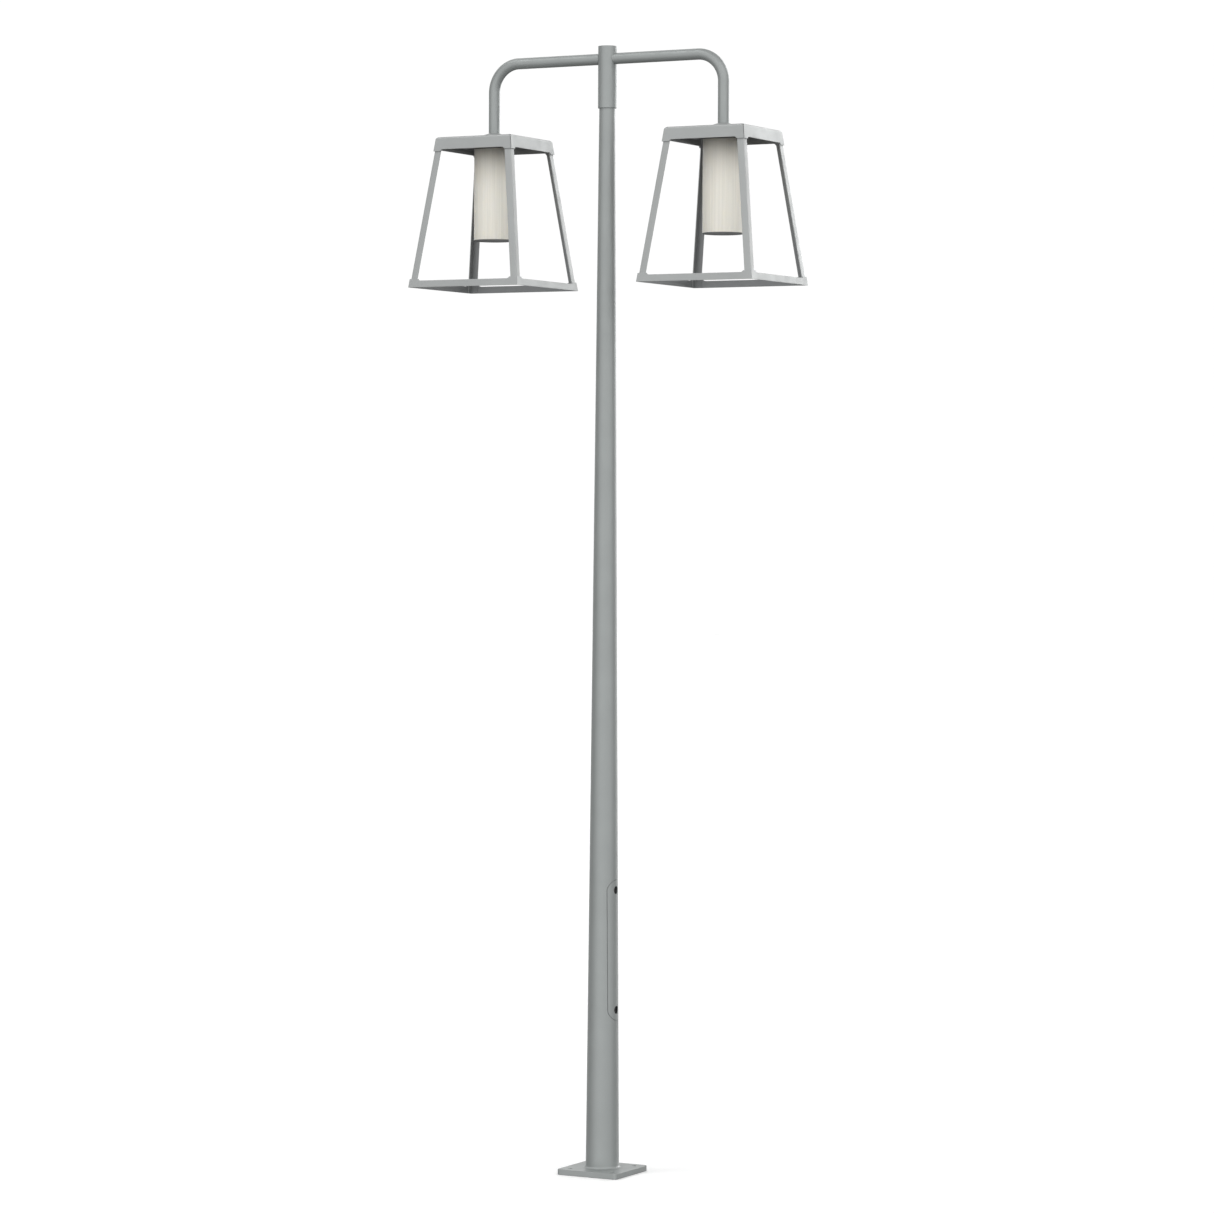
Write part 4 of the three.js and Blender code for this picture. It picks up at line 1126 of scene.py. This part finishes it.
def add_floor():
    mesh = bpy.data.meshes.new("floor")
    h = FLOOR_HALF
    mesh.from_pydata([(-h, -h, 0), (h, -h, 0), (h, h, 0), (-h, h, 0)], [], [(0, 1, 2, 3)])
    made, _, shader = shader_of("pale floor", FLOOR_WHITE, roughness=0.9)
    shader.inputs["Emission Color"].default_value = (1, 1, 1, 1)
    shader.inputs["Emission Strength"].default_value = FLOOR_GLOW
    shader.inputs["Specular IOR Level"].default_value = 0.0
    mesh.materials.append(made)
    floor = bpy.data.objects.new("floor", mesh)
    floor.location.z = -FLOOR_DROP
    floor.visible_diffuse = False
    floor.visible_glossy = False
    bpy.context.scene.collection.objects.link(floor)


# Softboxes in the studio's far wall: azimuth from -Y towards +X, elevation, the angles from the
# middle where the light is full and where it has faded out, and its strength
SOFTBOXES = (
    (4, 12, 10, 66, 1.33),
    (165, 14, 8, 25, 3.7),
    (76, 24, 10, 48, 1.56),
    (-50, 51, 6, 18, 4.0),
    (215, 22, 10, 58, 1.0),
)
STUDIO_LIGHT = 0.18  # of the rest of the room
BACKDROP = 1.02


def add_world():
    """White to the camera. As a light it is a dim room with soft boxes in it."""
    world = bpy.data.worlds.new("studio")
    world.use_nodes = True
    tree = world.node_tree
    tree.nodes.clear()
    out = tree.nodes.new("ShaderNodeOutputWorld")
    path = tree.nodes.new("ShaderNodeLightPath")
    seen, lit = (tree.nodes.new("ShaderNodeBackground") for _ in range(2))
    for background in (seen, lit):
        background.inputs["Color"].default_value = (1, 1, 1, 1)
    seen.inputs["Strength"].default_value = BACKDROP
    direction = tree.nodes.new("ShaderNodeTexCoord").outputs["Generated"]

    def lobe(azimuth, elevation, full, faded, strength):
        """A level that rises smoothly as a direction turns toward a softbox."""
        a, e = math.radians(azimuth), math.radians(elevation)
        dot = add_node(tree, "ShaderNodeVectorMath", operation="DOT_PRODUCT")
        tree.links.new(direction, dot.inputs[0])
        dot.inputs[1].default_value = (math.sin(a) * math.cos(e), -math.cos(a) * math.cos(e),
                                       math.sin(e))
        values = {"From Min": math.cos(math.radians(faded)),
                  "From Max": math.cos(math.radians(full)), "To Min": 0.0, "To Max": strength}
        made = add_node(tree, "ShaderNodeMapRange", values, interpolation_type="SMOOTHSTEP")
        tree.links.new(dot.outputs["Value"], made.inputs["Value"])
        return made.outputs["Result"]

    total = add_node(tree, "ShaderNodeValue")
    total.outputs[0].default_value = STUDIO_LIGHT
    total = total.outputs[0]
    for softbox in SOFTBOXES:
        total = reckoned(tree, "ADD", total, lobe(*softbox))
    tree.links.new(total, lit.inputs["Strength"])
    mix = tree.nodes.new("ShaderNodeMixShader")
    tree.links.new(path.outputs["Is Camera Ray"], mix.inputs[0])
    tree.links.new(lit.outputs[0], mix.inputs[1])
    tree.links.new(seen.outputs[0], mix.inputs[2])
    tree.links.new(mix.outputs[0], out.inputs["Surface"])
    bpy.context.scene.world = world


CAMERA_AZIMUTH = math.radians(28.163)  # from -Y towards +X
CAMERA_DISTANCE = 14.642
CAMERA_HEIGHT = 2.338
CAMERA_PITCH = math.radians(-1.265)
CAMERA_ROLL = math.radians(0.265)
FOCAL_RATIO = 3.39799  # focal length over the picture's width
SIDE_SHIFT = 0.00173
SENSOR = 36.0
CLIP_END = 200.0


def add_camera():
    """Stands at its azimuth and distance from the post's axis, level but for a small pitch
    and roll."""
    azimuth, pitch, roll = CAMERA_AZIMUTH, CAMERA_PITCH, CAMERA_ROLL
    forward = np.array([-math.sin(azimuth), math.cos(azimuth), 0.0])
    right = np.array([math.cos(azimuth), math.sin(azimuth), 0.0])
    up = np.array([0.0, 0.0, 1.0])
    look = forward * math.cos(pitch) + up * math.sin(pitch)
    rise = up * math.cos(pitch) - forward * math.sin(pitch)
    x_axis = right * math.cos(roll) + rise * math.sin(roll)
    y_axis = rise * math.cos(roll) - right * math.sin(roll)
    data = bpy.data.cameras.new("camera")
    data.sensor_width = SENSOR
    data.lens = FOCAL_RATIO * SENSOR
    data.shift_x = SIDE_SHIFT
    data.clip_end = CLIP_END
    camera = bpy.data.objects.new("camera", data)
    matrix = Matrix.Identity(4)
    for i in range(3):
        matrix[i][0], matrix[i][1], matrix[i][2] = x_axis[i], y_axis[i], -look[i]
    place = -forward * CAMERA_DISTANCE + up * CAMERA_HEIGHT
    matrix.translation = place.tolist()
    camera.matrix_world = matrix
    bpy.context.scene.collection.objects.link(camera)
    bpy.context.scene.camera = camera


add_floor()
add_world()
add_camera()
bpy.context.scene.view_settings.view_transform = "Standard"
